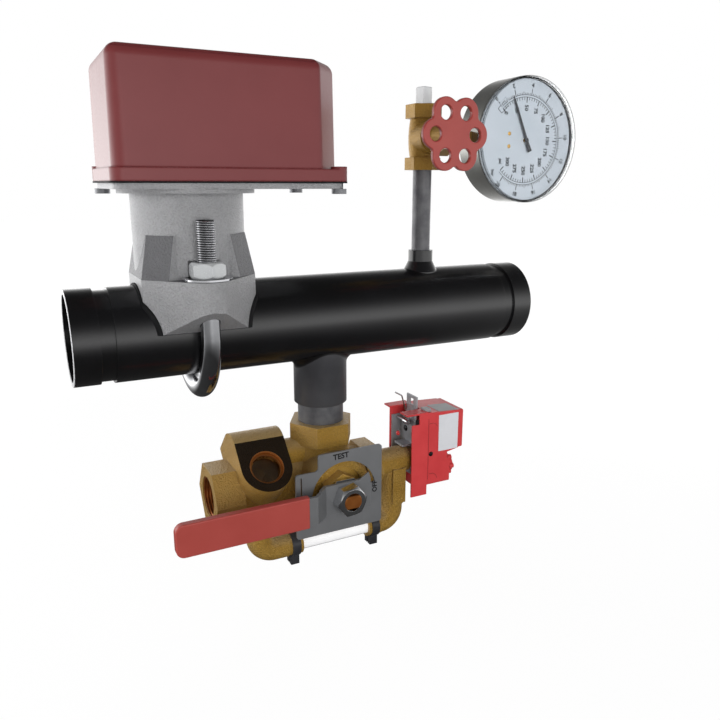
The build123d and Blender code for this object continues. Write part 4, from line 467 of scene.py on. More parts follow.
cast_aluminium = finish("cast_aluminium", (168, 168, 170), (175, 175, 177), (192, 192, 195), wear=0.3,
                        edge=0.5, grain=1.2, height=1.3, blotch=16, speck=0.1, metallic=0.5, roughness=0.42)
# Painted shade: the faces that look up even a little are darkened toward a dark grey.
tint(cast_aluminium, "Z", 0.08, 0.19, (84, 84, 87), 0.75)
dress(cast_aluminium, "flow_switch_base")
rubber = finish("black_rubber", (16, 16, 17), (22, 22, 23), (40, 40, 42), wear=0.2, grain=0.5, height=0.02,
                roughness=0.7, specular=0.3)
dress(rubber, "saddle_seal", "base_plate", "neck_seal", "seat_disc")
bright_steel = finish("bright_steel", (196, 197, 200), (208, 209, 212), (235, 235, 238), edge=0.25, grain=0.6,
                      height=0.004, metallic=1.0, roughness=0.16, spread=0.05)
dress(bright_steel, "u_bolt_washers", "plate_nut", "trip_wire")
dress(finish("screw_zinc", (128, 129, 132), (144, 145, 148), (190, 190, 192), wear=0.4, grain=0.5,
             height=0.02, metallic=0.7), "cover_screws")
print("casting and steel ready")

# %% [markdown]
# Four reds differ on this object. The switch cover is a dusky red enamel; the handwheel is a
# thicker, lighter red dip; the supervisory switch is a clean signal red powder coat; the lever's
# sleeve is soft vinyl. Each has its own edge colour: a paler worn edge on the switch and the
# sleeve, and on the cover and the wheel a deeper red that is a painted reflection of their glossy
# rounded edges.

# %% Reds
# Painted reflection: the cover's rounded edges take a deeper red.
dress(finish("cover_red", (104, 44, 45), (108, 47, 48), (92, 16, 20), wear=0.8, edge=1.6, grain=1.4,
             height=0.004, blotch=40, roughness=0.33), "switch_cover")
# Painted reflection: the wheel's edges take a deeper red.
dress(finish("wheel_red", (148, 60, 55), (154, 65, 59), (150, 24, 24), wear=0.7, edge=0.7, grain=1.0,
             height=0.02, blotch=14, roughness=0.38, coat=0.3), "handwheel")
signal_red = finish("signal_red", (190, 52, 55), (199, 60, 62), (222, 70, 72), wear=0.6, edge=0.4, grain=0.7,
                    height=0.02, blotch=18, roughness=0.42, coat=0.15)
dress(signal_red, "switch_bracket", "switch_housing", "switch_lid", "thumb_knob", "delay_knob")
dress(finish("sleeve_red", (153, 60, 53), (159, 65, 58), (190, 104, 96), wear=0.6, edge=0.8, height=0.006,
             blotch=25, specular=0.7), "lever_sleeve")
print("reds ready")

# %% [markdown]
# The valve bodies are cast bronze. The skin is about as coarse as the aluminium's, and its
# colour wanders between olive and honey. The two flat faces round the sight glasses were
# milled, so they are finely lined, and they are painted a near-black, matt brown; a mask finds
# them by how far they lie from the valve's axis.

# %% Bronze
SIGHT_REACH, MILLED_END, MILLING_PITCH = 35.9, 19.0, 0.9
sight_x = float(middle("sight_glasses")[0])


def cast_bronze(name, painted_highlight=0.6, height=1.5, speck=0.12):
    """Sand-cast bronze with olive and honey blotches, honey edges, and a painted pale highlight on the faces
    that look up and on those turned to -x.
    """
    material = finish(name, (162, 125, 52), (172, 136, 64), (200, 170, 118), edge=0.6, grain=1.25,
                      height=height, blotch=14, speck=speck, metallic=0.35)
    # Painted highlight: faces that look up, and by half as much those turned to -x, are paled toward a light
    # honey.
    tint(material, "Z", 0.35, 0.8, (176, 152, 112), painted_highlight)
    tint(material, "X", -0.4, -0.85, (164, 136, 92), 0.5 * painted_highlight)
    return material


def valve_bronze():
    """Cast bronze with dark, lined faces where (|y| + z) / sqrt 2 reaches a milled face."""
    material = cast_bronze("valve_bronze")
    tree = material.node_tree
    x, y, z = object_axes(tree)
    reach = work(tree, "ADD", work(tree, "ABSOLUTE", y), work(tree, "ADD", z, -VALVE[2] * MM))
    far = work(tree, "GREATER_THAN", reach, (SIGHT_REACH - 0.15) * math.sqrt(2) * MM)
    near = work(tree, "LESS_THAN", x, (sight_x + MILLED_END) * MM)
    mask = work(tree, "MULTIPLY", far, near)
    wave = work(tree, "SINE", work(tree, "MULTIPLY", x, 2 * math.pi / (MILLING_PITCH * MM)))
    lines = mix_colour(tree, ramp(tree, wave, -1.0, 1.0), paint(8, 4, 0), paint(34, 21, 4))
    for socket, value in (("Base Color", lines), ("Roughness", 0.85), ("Metallic", 0.0)):
        overlay(material, socket, mask, value)
    return material


dress(valve_bronze(), "test_drain_body")
gauge_bronze = cast_bronze("gauge_bronze", painted_highlight=0.1, height=0.5, speck=0.05)
# Painted shade: the faces turned to the front (-y) are darkened toward a deep brown.
tint(gauge_bronze, "Y", -0.2, -0.7, (132, 98, 30), 0.6)
dress(gauge_bronze, "gauge_valve_body")
dress(cast_bronze("cast_bronze"), "relief_body", "bypass_left_elbow", "bypass_right_elbow")
dress(finish("turned_bronze", (150, 88, 38), (164, 100, 46), (206, 150, 96), edge=0.25, grain=0.5,
             height=0.006, blotch=6, metallic=0.7, roughness=0.36),
      "valve_stem", "gauge_stem", "relief_poppet", "sight_rings")
dress(cast_bronze("bonnet_bronze", painted_highlight=0.2, height=0.5, speck=0.05), "stem_bonnet", "gauge_bonnet")
brass = finish("clock_brass", (190, 150, 80), (205, 165, 92), (235, 205, 140), wear=0.4, grain=0.6,
               height=0.005, metallic=0.9, roughness=0.3)
dress(brass, "pointer_shaft", "sector_gear", "movement_frame", "bourdon_tube", "gauge_socket")
dress(finish("pale_plug", (206, 208, 210), (216, 218, 219), (216, 216, 218), wear=0.3, grain=0.7, height=0.03,
             blotch=6, metallic=0.1, roughness=0.5), "gauge_plug")
print("bronze ready")

# %% [markdown]
# Sheet steel makes the indicator plate, the lever and the switch's inner frame. It is rolled,
# so it is smoother than the castings, and its worn edges are paler. The lever's nut and the
# ball are polished chrome, which is mirror-like with a trace of haze.

# %% Sheet steel, chrome and black plastic
dress(finish("plate_steel", (123, 124, 126), (129, 130, 132), (165, 166, 168), wear=0.6, edge=0.3, grain=0.5,
             height=0.006, blotch=18, metallic=0.5, roughness=0.42), "indicator_plate", "lever_handle")
dress(finish("chrome", (205, 206, 208), (215, 216, 218), (245, 245, 246), wear=0.6, edge=0.3, height=0.002,
             metallic=1.0, roughness=0.12, spread=0.03), "lever_nut", "valve_ball")
dress(finish("frame_steel", (150, 152, 156), (166, 168, 172), (215, 215, 218), wear=0.6, edge=0.25, grain=0.6,
             height=0.01, blotch=6, metallic=0.4, roughness=0.35), "switch_frame")
dress(finish("clamp_black", (38, 38, 41), (52, 52, 55), (84, 84, 88), wear=0.6, edge=0.3, grain=0.6,
             height=0.01, roughness=0.35), "hose_clamps", "gauge_pointer", "delay_unit")
dress(finish("inner_steel", (150, 150, 154), (165, 165, 168), (210, 210, 212), grain=0.6, height=0.01,
             metallic=0.8, roughness=0.3), "vane_lever", "vane_pin")
dress(finish("white_nylon", (222, 222, 216), (232, 232, 226), (240, 240, 236), height=0.01),
      "flow_vane", "switch_blocks", "terminal_strip", "ball_seats")
print("sheet steel and plastics ready")

# %% [markdown]
# The gauge has a dark nickelled case. Its glass, its clear rim and the two sight glasses are
# the only places where light goes through; the bypass tube is milky, with painted shade on its
# underside and a faint painted glow from its own emission. Clear pieces let shadow rays pass,
# because whatever stands behind them would otherwise be too dark.

# %% Clear pieces
GLASS_SHADE, GLASS_IOR, SMUDGE_SIZE = (0.98, 0.985, 0.99, 1), 1.45, 14.0


def clear(name, shade, straight, roughness=0.0, haze=0.006):
    """Clear glass with faint smudges, no shadow, and a share of the view passing straight through."""
    material, shader = blank(name)
    tree = material.node_tree
    smudge = place_group(tree, 0.1, 3.0, 0.0, SMUDGE_SIZE)["Blotch"]
    settings = {"Base Color": shade, "Transmission Weight": 1.0, "IOR": GLASS_IOR,
                "Roughness": ramp(tree, smudge, 0.0, 1.0, roughness, roughness + haze)}
    for socket, value in settings.items():
        feed(tree, shader[socket], value)
    path = tree.nodes.new("ShaderNodeLightPath").outputs
    passing = work(tree, "MAXIMUM", path["Is Shadow Ray"], path["Is Diffuse Ray"])
    seen = work(tree, "MULTIPLY_ADD", path["Is Camera Ray"], straight, passing)
    through = chain(tree, "ShaderNodeBsdfTransparent", Color=shade).outputs[0]
    glass = tree.nodes["Principled BSDF"].outputs[0]
    either = chain(tree, "ShaderNodeMixShader", i0=seen, i1=glass, i2=through)
    feed(tree, tree.nodes["Material Output"].inputs["Surface"], either.outputs[0])
    return material


dress(clear("gauge_glass", GLASS_SHADE, straight=0.97), "gauge_lens")
dress(clear("bezel_clear", GLASS_SHADE, straight=0.7), "gauge_bezel")
dress(clear("sight_clear", (0.42, 0.32, 0.2, 1), straight=0.0, roughness=0.01, haze=0.01), "sight_glasses")
milky_tube = finish("milky_tube", (240, 240, 241), (244, 244, 245), (248, 248, 248), wear=0.2, edge=0.2,
                    grain=1.0, height=0.002, roughness=0.2)
# Painted shade: the faces that look down are darkened toward a dark grey.
tint(milky_tube, "Z", -0.55, -0.85, (60, 60, 64), 0.9)
# Painted light: a faint emission makes the tube glow, though it is no lamp.
milky_tube.node_tree.nodes["Principled BSDF"].inputs["Emission Strength"].default_value = 0.12
dress(milky_tube, "bypass_tube")
dress(finish("gauge_steel", (142, 142, 138), (148, 148, 144), (170, 170, 168), wear=0.4, edge=0.4, grain=1.2,
             height=0.0005, metallic=0.9, roughness=0.24), "gauge_case")
dress(finish("dial_white", (197, 205, 212), (203, 210, 217), (206, 210, 216), wear=0.0, grain=0.6,
             height=0.002, blotch=30, roughness=0.5), "gauge_dial")
print("clear pieces ready")

# %% [markdown]
# Every new piece is a surface worked out point by point and closed on itself. Most are rows
# of rings: either a tube with capped ends, or a ring whose section closes on itself. The
# helpers make the faces between the rings, the rings about an axis, and a small domed head.

# %% Helpers for new pieces
BUTTON_SINK = 0.1


def store(name, points, faces, smooth=True):
    """A closed piece on the root body, from points in millimetres, with its normals turned out."""
    data = bpy.data.meshes.new(name)
    data.from_pydata((np.asarray(points) * MM).tolist(), [], faces)
    data.validate()
    data.update()
    data.polygons.foreach_set("use_smooth", [smooth] * len(data.polygons))
    piece = bpy.data.objects.new(name, data)
    bpy.context.scene.collection.objects.link(piece)
    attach(piece, "root")
    mesh = bmesh.new()
    mesh.from_mesh(data)
    bmesh.ops.remove_doubles(mesh, verts=mesh.verts, dist=1e-7)
    bmesh.ops.recalc_face_normals(mesh, faces=mesh.faces)
    mesh.to_mesh(data)
    mesh.free()
    return piece


def ring_faces(rings, around, closed=False):
    """Quads between successive rings of points; closed joins the last ring to the first."""
    faces = []
    for ring in range(rings if closed else rings - 1):
        a, b = ring * around, (ring + 1) % rings * around
        faces += [(a + k, a + (k + 1) % around, b + (k + 1) % around, b + k) for k in range(around)]
    return faces


def capped_tube(rings):
    """Points and faces of a tube through rings of points, with a flat fan at each end."""
    rings = np.asarray(rings)
    count, around = rings.shape[:2]
    ends = np.array([rings[0].mean(axis=0), rings[-1].mean(axis=0)])
    first, last, base = count * around, count * around + 1, (count - 1) * around
    faces = ring_faces(count, around)
    faces += [(first, (k + 1) % around, k) for k in range(around)]
    faces += [(last, base + k, base + (k + 1) % around) for k in range(around)]
    return np.vstack([rings.reshape(-1, 3), ends]), faces


def closed_ring(name, rings, material, smooth=True):
    """A piece whose rings of points follow one another back to the first."""
    rings = np.asarray(rings)
    piece = store(name, rings.reshape(-1, 3), ring_faces(*rings.shape[:2], closed=True), smooth)
    dress(material, name)
    return piece


def even_angles(around):
    """Angles that share out one full turn."""
    return np.linspace(0, 2 * math.pi, around, endpoint=False)


def level_ring(centre, radius, height, around):
    """A level ring: its centre plus radius times (cos, sin). Radius and height may change with the angle."""
    east, north = np.cos(even_angles(around)), np.sin(even_angles(around))
    return np.column_stack([centre[0] + radius * east, centre[1] + radius * north, height * np.ones(around)])


def spokes(axis, hint, around):
    """Unit spokes round an axis: cos times a side direction plus sin times the one across it."""
    side = np.cross(axis, hint)
    side /= np.linalg.norm(side)
    angles = even_angles(around)
    return np.outer(np.cos(angles), side) + np.outer(np.sin(angles), np.cross(axis, side))


def button(name, place, normal, radius, height, material, around=32):
    """A low domed head: a circle that rises and narrows as a quarter of an ellipse."""
    place, normal = np.asarray(place), np.asarray(normal)
    rays = spokes(normal, (0.31, 0.2, 0.93), around) * radius
    rings = [place + rays - normal * BUTTON_SINK]
    for turn in np.linspace(0, 0.45 * math.pi, 7):
        rings.append(place + rays * math.cos(turn) + normal * height * math.sin(turn))
    store(name, *capped_tube(rings))
    dress(material, name)


print("mesh helpers ready")

# %% [markdown]
# The U-bolt's two legs carry a rolled thread above the casting. The bolt is one swept circle
# whose radius dips with the helix: the phase of a triangular wave moves once round for every
# pitch climbed, and the dip fades in over the first turn and out at the chamfered tip.

# %% Threaded U-bolt
BOLT_R, BOLT_SIDE, BOLT_TOP, BOLT_AROUND = 6.0, 40.2, 71.5, 40
THREAD_START, THREAD_PITCH, THREAD_DEPTH, TIP_CHAMFER = 46.0, 1.36, 0.8, 0.9
saddle_x = float(middle("u_bolt")[0])


def thread_wave(turns):
    """A triangular wave, 0 at the crest and 1 at the root, once for every whole turn."""
    return np.abs(2 * (turns - np.floor(turns)) - 1)


def leg_rings(way, step=0.12):
    """Rings up one leg; the radius is the bolt's less the larger of the thread's dip and the chamfer."""
    plain, threaded = np.linspace(0, THREAD_START - 0.6, 8), np.arange(THREAD_START, BOLT_TOP - 0.01, step)
    angles = even_angles(BOLT_AROUND)
    rings = []
    for height in (*plain, *threaded, BOLT_TOP):
        fade = np.clip((height - THREAD_START) / THREAD_PITCH, 0, 1)
        dip = THREAD_DEPTH * fade * thread_wave(height / THREAD_PITCH - angles / (2 * math.pi))
        radius = BOLT_R - np.maximum(dip, height - (BOLT_TOP - TIP_CHAMFER))
        along, reach = saddle_x + radius * np.cos(angles), way * (BOLT_SIDE + radius * np.sin(angles))
        rings.append(np.column_stack([along, reach, np.full(BOLT_AROUND, height)]))
    return rings


def bend_rings(steps=96):
    """Rings under the pipe; each point keeps its distance from the pipe's axis and turns half a circle."""
    angles = even_angles(BOLT_AROUND)
    along, reach = saddle_x + BOLT_R * np.cos(angles), BOLT_SIDE + BOLT_R * np.sin(angles)
    return [np.column_stack([along, reach * math.cos(turn), -reach * math.sin(turn)])
            for turn in np.linspace(0, math.pi, steps)[1:-1]]


def threaded_zinc():
    """Zinc with painted highlights on the thread crests and painted shade in the roots, told apart by the
    distance from a leg's axis.
    """
    material = finish("dark_zinc", (166, 167, 170), (178, 179, 182), (210, 210, 213), wear=0.3, edge=0.2,
                      grain=0.6, height=0.001, metallic=1.0, roughness=0.1, spread=0.02)
    tree = material.node_tree
    x, y, z = object_axes(tree)
    flat = chain(tree, "ShaderNodeCombineXYZ", X=x, Y=work(tree, "ABSOLUTE", y)).outputs[0]
    axis = (saddle_x * MM, BOLT_SIDE * MM, 0.0)
    reach = chain(tree, "ShaderNodeVectorMath", "DISTANCE", i0=flat, i1=axis).outputs["Value"]
    threaded = work(tree, "GREATER_THAN", z, THREAD_START * MM)
    # Painted highlight near the crests, painted shade deep in the roots.
    for inner, outer, low, colour in ((0.4, 0.1, 0.0, (244, 244, 246)), (0.75, 0.45, 1.0, (18, 18, 19))):
        painted_band = ramp(tree, reach, (BOLT_R - inner) * MM, (BOLT_R - outer) * MM, low, 1.0 - low)
        overlay(material, "Base Color", work(tree, "MULTIPLY", painted_band, threaded), colour)
    return material


u_bolt = store("threaded_u_bolt", *capped_tube(leg_rings(1)[::-1] + bend_rings() + leg_rings(-1)))
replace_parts(u_bolt, "u_bolt")
dress(threaded_zinc(), "threaded_u_bolt")
print("u-bolt faces:", len(u_bolt.data.polygons))

# %% [markdown]
# A real nut's corners are turned off by a cone at both ends, which leaves an arc on every
# flat. So the nut's radius at any height is the smaller of two: the hexagon's, which is the
# half width over the cosine of the angle from the nearest flat, and the cone's, which grows
# with the distance from the end. The washers are dished.

# %% Nuts and washers
NUT_AF, NUT_HEIGHT, NUT_CHAMFER, WASHER_THICK = 19.3, 9.5, 0.7, 1.4
CONE_START, CONE_RISE, CORNER_CONE = 0.5, 2.2, 1.05
PAD_TOP = float(corners("u_bolt_washers")[0][2])


def lathe(name, centre, loop, material, around=144):
    """A closed ring round an upright axis: a loop of (radius over the angle, height) pairs."""
    angles = even_angles(around)
    rings = [level_ring(centre, radius(angles), centre[2] + height, around) for radius, height in loop]
    return closed_ring(name, rings, material, smooth=False)


def even(radius):
    """A radius that is the same all round."""
    return lambda angles: np.full(len(angles), radius)


def corner_turned(half_width, end):
    """A hexagon's radius, cut down by the cone at a distance from the nut's end."""
    def radius(angles):
        """The smaller of the hexagon's and the cone's radius."""
        from_flat = (angles + math.pi / 6) % (math.pi / 3) - math.pi / 6
        return np.minimum(half_width / np.cos(from_flat), half_width - CONE_START + end * CORNER_CONE)
    return radius


def nut(name, centre, across_flats, height, bore, material):
    """A hexagon nut with its corners turned off at both ends."""
    climb = np.concatenate([np.linspace(0, CONE_RISE, 12), np.linspace(height - CONE_RISE, height, 12)])
    loop = [(corner_turned(across_flats / 2, min(z, height - z)), z) for z in climb]
    loop += [(even(bore + NUT_CHAMFER), height), (even(bore), height - NUT_CHAMFER),
             (even(bore), NUT_CHAMFER), (even(bore + NUT_CHAMFER), 0.0)]
    return lathe(name, centre, loop, material)


def washer(name, centre, radius, bore, thick, dish, material):
    """A washer whose rim is turned up: the dish times the cube of the way from bore to rim."""
    radii = np.linspace(bore, radius, 7)
    rise = dish * ((radii - bore) / (radius - bore)) ** 3
    loop = [(even(r), z) for r, z in zip(radii, rise)]
    loop += [(even(r), z + thick) for r, z in zip(radii[::-1], rise[::-1])]
    return lathe(name, centre, loop, material)


nut_zinc = finish("nut_zinc", (186, 188, 190), (194, 196, 197), (240, 240, 242), wear=0.7, edge=0.25,
                  height=0.002, metallic=0.35, roughness=0.25)
for label, way, washer_r in (("near", -1, 14.9), ("far", 1, 13.3)):
    place = (saddle_x, way * BOLT_SIDE, PAD_TOP)
    above = (saddle_x, way * BOLT_SIDE, PAD_TOP + WASHER_THICK)
    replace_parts(washer(f"dished_washer_{label}", place, washer_r, BOLT_R + 0.4, WASHER_THICK - 0.1, 0.5,
                       bright_steel), "u_bolt_washers")
    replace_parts(nut(f"saddle_nut_{label}", above, NUT_AF, NUT_HEIGHT, BOLT_R - 0.1, nut_zinc), "u_bolt_nuts")
print("nuts and washers ready")

# %% [markdown]
# The drain coupling is welded to the header. Seen from the front, the weld flares out on the
# two sides, where the coupling meets the bottom of the pipe, and nearly vanishes in front,
# where it meets the pipe's flank. The flare's foot is a curve: lowest beside the pipe's
# bottom line, and higher by a constant times the square of the distance from it.

# %% Welded coupling
COUPLING_R, COUPLING_BORE, COUPLING_BOTTOM = 19.35, 16.9, -62.9
COUPLING_CHAMFER, WELD_SINK, WELD_FLARE, WELD_STEPS = 0.6, 1.2, 5.2, 8


def under_header(north):
    """Just inside the header's wall: below its axis by the root of radius squared less north squared."""
    return WELD_SINK - np.sqrt(HEADER_R ** 2 - north ** 2)


def welded_coupling(around=144):
    """Bore, rim and wall, then a flare that goes out with t to the 1.7 and up with t to the 0.8."""
    east, north = np.cos(even_angles(around)), np.sin(even_angles(around))
    foot = LACQUER_LOW + LACQUER_CURVE * (COUPLING_R * north) ** 2
    out = COUPLING_R + COUPLING_CHAMFER + WELD_FLARE * east ** 2
    roof = under_header(out * north)
    rows = [(COUPLING_BORE, COUPLING_BOTTOM), (COUPLING_R - COUPLING_CHAMFER, COUPLING_BOTTOM),
            (COUPLING_R, COUPLING_BOTTOM + COUPLING_CHAMFER), (COUPLING_R, foot)]
    rows += [(COUPLING_R + (out - COUPLING_R) * t ** 1.7, foot + (roof - foot) * t ** 0.8)
             for t in np.linspace(0, 1, WELD_STEPS + 1)[1:]]
    rows.append((COUPLING_BORE, under_header(COUPLING_BORE * north)))
    rings = [level_ring((DRAIN_X, 0.0), radius, height, around) for radius, height in rows]
    piece = closed_ring("welded_coupling", rings, lacquered_coupling())
    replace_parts(piece, "drain_coupling")
    return piece


print("coupling faces:", len(welded_coupling().data.polygons))

# %% [markdown]
# Pipe threads line the outlet and the two sight windows. Each is a sleeve whose outer wall
# lies in the bore and whose inner wall is a helix. They look like new copper, because the
# cutting tool has just bared the bronze, so they get their own bright orange finish.

# %% Female threads
THREAD_WALL = 0.12
OUTLET_PITCH, SIGHT_PITCH = 2.2, 0.9
thread_copper = finish("thread_copper", (158, 86, 36), (176, 102, 48), (222, 168, 112), edge=0.12, grain=0.5,
                       height=0.004, blotch=5, metallic=0.75, roughness=0.3)


def thread_sleeve(name, origin, axis, length, outer, depth, pitch, around=72):
    """A closed sleeve; its inner radius is the outer less a wall and less the thread's lift, a helix."""
    origin, axis = np.asarray(origin), np.array(axis) / np.linalg.norm(axis)
    angles, rays = even_angles(around), spokes(axis, (0.0, 0.31, 0.95), around)
    rings = []
    for along in np.arange(0, length + 1e-6, pitch / 10):
        fade = min(1.0, (length - along) / pitch + 0.15)
        lift = depth * fade * (1 - thread_wave(along / pitch - angles / (2 * math.pi)))
        rings.append(origin + along * axis + rays * (outer - THREAD_WALL - lift)[:, None])
    rings += [origin + length * axis + rays * outer, origin + rays * outer]
    return closed_ring(name, rings, thread_copper)


outlet_x = float(corners("test_drain_body")[0][0])
thread_sleeve("outlet_thread", (outlet_x + 0.8, 0, VALVE[2]), (1, 0, 0), 24.0, 14.6, 1.15, OUTLET_PITCH)
for label, way in (("front", -1), ("back", 1)):
    normal = np.array([0, way, 1]) / math.sqrt(2)
    mouth = np.array([sight_x, 0, VALVE[2]]) + normal * (SIGHT_REACH - 0.4)
    thread_sleeve(f"sight_thread_{label}", mouth, -normal, 1.9, 12.0, 0.45, SIGHT_PITCH)
print("threads cut")

# %% [markdown]
# Print and labels are thin solids, a few hundredths of a millimetre proud, so that they stay
# crisp at any distance. Letters come from the built-in font, flattened to a mesh and laid on a
# surface by three directions: the reading direction, the letters' up, and the surface's
# outward normal. Pieces of the same print are joined into one mesh.

# %% Flat print helpers
LETTER_OFFSET = 0.035


def joined(parts):
    """One list of points and one of faces from many pairs."""
    points, faces, start = [], [], 0
    for part_points, part_faces in parts:
        points.append(part_points)
        faces += [tuple(start + k for k in face) for face in part_faces]
        start += len(part_points)
    return np.vstack(points), faces


def slab(ring, normal, low, high):
    """A flat prism over a ring of corners: from low to high along the normal."""
    ring, normal, count = np.asarray(ring), np.asarray(normal), len(ring)
    faces = [tuple(range(count))[::-1], tuple(range(count, 2 * count))]
    faces += [(k, (k + 1) % count, count + (k + 1) % count, count + k) for k in range(count)]
    return np.vstack([ring + low * normal, ring + high * normal]), faces


def letters(text, size, centre, up, normal, thick=0.06):
    """One centred line of print; its x, y and z go along the reading direction, up and the normal."""
    curve = bpy.data.curves.new("line", "FONT")
    curve.body, curve.size, curve.extrude, curve.resolution_u = text, size, thick / 2, 3
    curve.offset = LETTER_OFFSET * size
    shape = bpy.data.objects.new("line", curve)
    mesh = bpy.data.meshes.new_from_object(shape)
    flat = np.array([vertex.co[:] for vertex in mesh.vertices])
    faces = [tuple(face.vertices) for face in mesh.polygons]
    flat[:, :2] -= (flat[:, :2].min(axis=0) + flat[:, :2].max(axis=0)) / 2
    directions = np.array([np.cross(up, normal), up, normal], dtype=float)
    bpy.data.objects.remove(shape)
    bpy.data.curves.remove(curve)
    bpy.data.meshes.remove(mesh)
    return np.asarray(centre) + flat @ directions, faces


def printed(name, parts, material):
    """A closed, flat-shaded piece of print in one material."""
    piece = store(name, *joined(parts), smooth=False)
    dress(material, name)
    return piece


print("print helpers ready")

# %% [markdown]
# The dial reads with its zero at the upper left and runs 270 degrees clockwise. The inner
# scale is in psi, with a stroke every 5 and a longer one every 25. The outer scale is in bar,
# where 1 bar is 14.504 psi, with a stroke every 0.2 and longer ones at each bar and each
# second bar. A stroke at a turn t lies along the direction (sin(t - 45), cos(t - 45)). A dark
# ring of painted shade stands before the dial's edge, four lines frame the pointer's stop, and
# two small brass screws hold the dial.

# %% Dial print
FULL_TURN, FULL_PSI, PSI_PER_BAR, FIFTHS = 270.0, 300, 14.504, 5
INNER_ARC, OUTER_ARC, ARC_WIDTH = 31.4, 33.0, 0.34
PSI_STROKES = ((25, 27.4, 0.75), (5, 29.2, 0.46))
BAR_STROKES = ((10, 37.6, 0.6), (5, 35.4, 0.36), (1, 34.5, 0.36))
PSI_FIGURE, BAR_FIGURE, WORD_SIZE, BAR_FIGURE_R = 4.5, 4.3, 3.6, 40.4
INWARD_BARS = (0, 2, 18, 20)
PRINT_LOW, PRINT_HIGH = -0.03, 0.05
STOP_BOX = ((-26.9, 0, 21.8), (-21.3, 0, 27.7), (-17.6, 0, 24.4), (-23.3, 0, 18.9))
STOP_LINE = 0.42
# Painted shade: a dark ring before the dial's edge.
SHADE_RING_INNER, SHADE_RING_OUTER, SHADE_RING_RISE = 44.7, 45.15, 2.2
TOWARD_VIEWER, FIGURES_UP = np.array([0.0, -1.0, 0.0]), (1, 0, 0)
print_black = finish("print_black", (8, 8, 10), (14, 14, 17), (22, 22, 25), wear=0.0, grain=0.4, height=0.002,
                     blotch=4, roughness=0.55)


def rim_lip(around=160):
    """A ring of painted shade before the dial's edge, standing in for the dark line that the clear rim shows
    there; its section is 0.45 by 2.2 mm.
    """
    section = [(SHADE_RING_INNER, PRINT_LOW), (SHADE_RING_OUTER, PRINT_LOW), (SHADE_RING_OUTER, SHADE_RING_RISE), (SHADE_RING_INNER, SHADE_RING_RISE)]
    rings = [[DIAL + (radius * math.sin(angle), -rise, radius * math.cos(angle)) for radius, rise in section]
             for angle in even_angles(around)]
    return closed_ring("rim_lip", rings, print_black, smooth=False)


def dial_direction(psi):
    """The outward direction on the dial for a pressure in psi."""
    angle = math.radians(FULL_TURN * psi / FULL_PSI - 45)
    return np.array([math.sin(angle), 0.0, math.cos(angle)])


def mark(first, last, width):
    """A straight mark between two places on the dial, with half its width to each side."""
    first, last = DIAL + first, DIAL + last
    side = np.cross(last - first, TOWARD_VIEWER) / np.linalg.norm(last - first) * width / 2
    ring = [first - side, last - side, last + side, first + side]
    return slab(ring, TOWARD_VIEWER, PRINT_LOW, PRINT_HIGH)


def stroke(psi, base, number, kinds):
    """A mark from an arc to the radius of the first kind whose step divides the number."""
    reach, width = next((radius, width) for step, radius, width in kinds if number % step == 0)
    out = dial_direction(psi)
    return mark(out * min(base, reach), out * max(base, reach), width)


def arc(radius, steps=90):
    """A thin line along the whole scale, half its width to each side of a radius."""
    rings = []
    for psi in np.linspace(0, FULL_PSI, steps):
        inner, outer = (DIAL + dial_direction(psi) * (radius + way * ARC_WIDTH / 2) for way in (-1, 1))
        low, high = TOWARD_VIEWER * PRINT_LOW, TOWARD_VIEWER * PRINT_HIGH
        rings.append([inner + low, inner + high, outer + high, outer + low])
    return capped_tube(rings)


def psi_radius(psi):
    """How far out a pressure figure stands: the wide figures lie nearer to the centre."""
    if psi == 0:
        return 27.0
    return 23.6 if psi < FULL_PSI / 2 else 22.4


def dial_print():
    """Both scales with their strokes, figures and units."""
    front = DIAL + PRINT_LOW * TOWARD_VIEWER
    parts = [arc(INNER_ARC), arc(OUTER_ARC)]
    parts += [stroke(psi, INNER_ARC, psi, PSI_STROKES) for psi in range(0, FULL_PSI + 1, 5)]
    parts += [stroke(fifth / FIFTHS * PSI_PER_BAR, OUTER_ARC, fifth, BAR_STROKES)
              for fifth in range(20 * FIFTHS + 1)]
    for psi in range(0, FULL_PSI + 1, 25):
        place = front + dial_direction(psi) * psi_radius(psi)
        parts.append(letters(str(psi), PSI_FIGURE, place, FIGURES_UP, TOWARD_VIEWER))
    for bar in range(0, 21, 2):
        out = dial_direction(bar * PSI_PER_BAR)
        up = -out if bar in INWARD_BARS else out
        parts.append(letters(str(bar), BAR_FIGURE, front + out * BAR_FIGURE_R, up, TOWARD_VIEWER))
    parts += [mark(first, last, STOP_LINE) for first, last in zip(STOP_BOX, STOP_BOX[1:] + STOP_BOX[:1])]
    for word, place in (("psi", (-22.9, 0, -15.7)), ("bar", (-29.2, 0, -24.2))):
        parts.append(letters(word, WORD_SIZE, front + place, FIGURES_UP, TOWARD_VIEWER))
    return printed("dial_print", parts, print_black)


rim_lip()
print("dial print faces:", len(dial_print().data.polygons))
for label, rise in (("upper", 4.6), ("lower", -4.6)):
    button(f"dial_screw_{label}", DIAL + (-15.1, 0, rise), TOWARD_VIEWER, 1.5, 0.6, brass)

# %% [markdown]
# The indicator plate is stamped with the two positions of the lever. The words follow the
# ends of its arc, so one reads level and the other reads upward.

# %% Plate print
PLATE_PRINT_Y = PLATE_Y + 0.02
plate_ink = finish("plate_ink", (14, 14, 15), (22, 22, 23), (30, 30, 31), wear=0.0, grain=0.4, height=0.002,
                   blotch=3, roughness=0.6)
words = [letters("TEST", 5.6, (165.3, PLATE_PRINT_Y, -92.3), (-0.05, 0, 1.0), TOWARD_VIEWER, thick=0.1),
         letters("OFF", 5.0, (192.1, PLATE_PRINT_Y, -120.7), (-1.0, 0, 0), TOWARD_VIEWER, thick=0.1)]
print("plate print faces:", len(printed("plate_print", words, plate_ink).data.polygons))
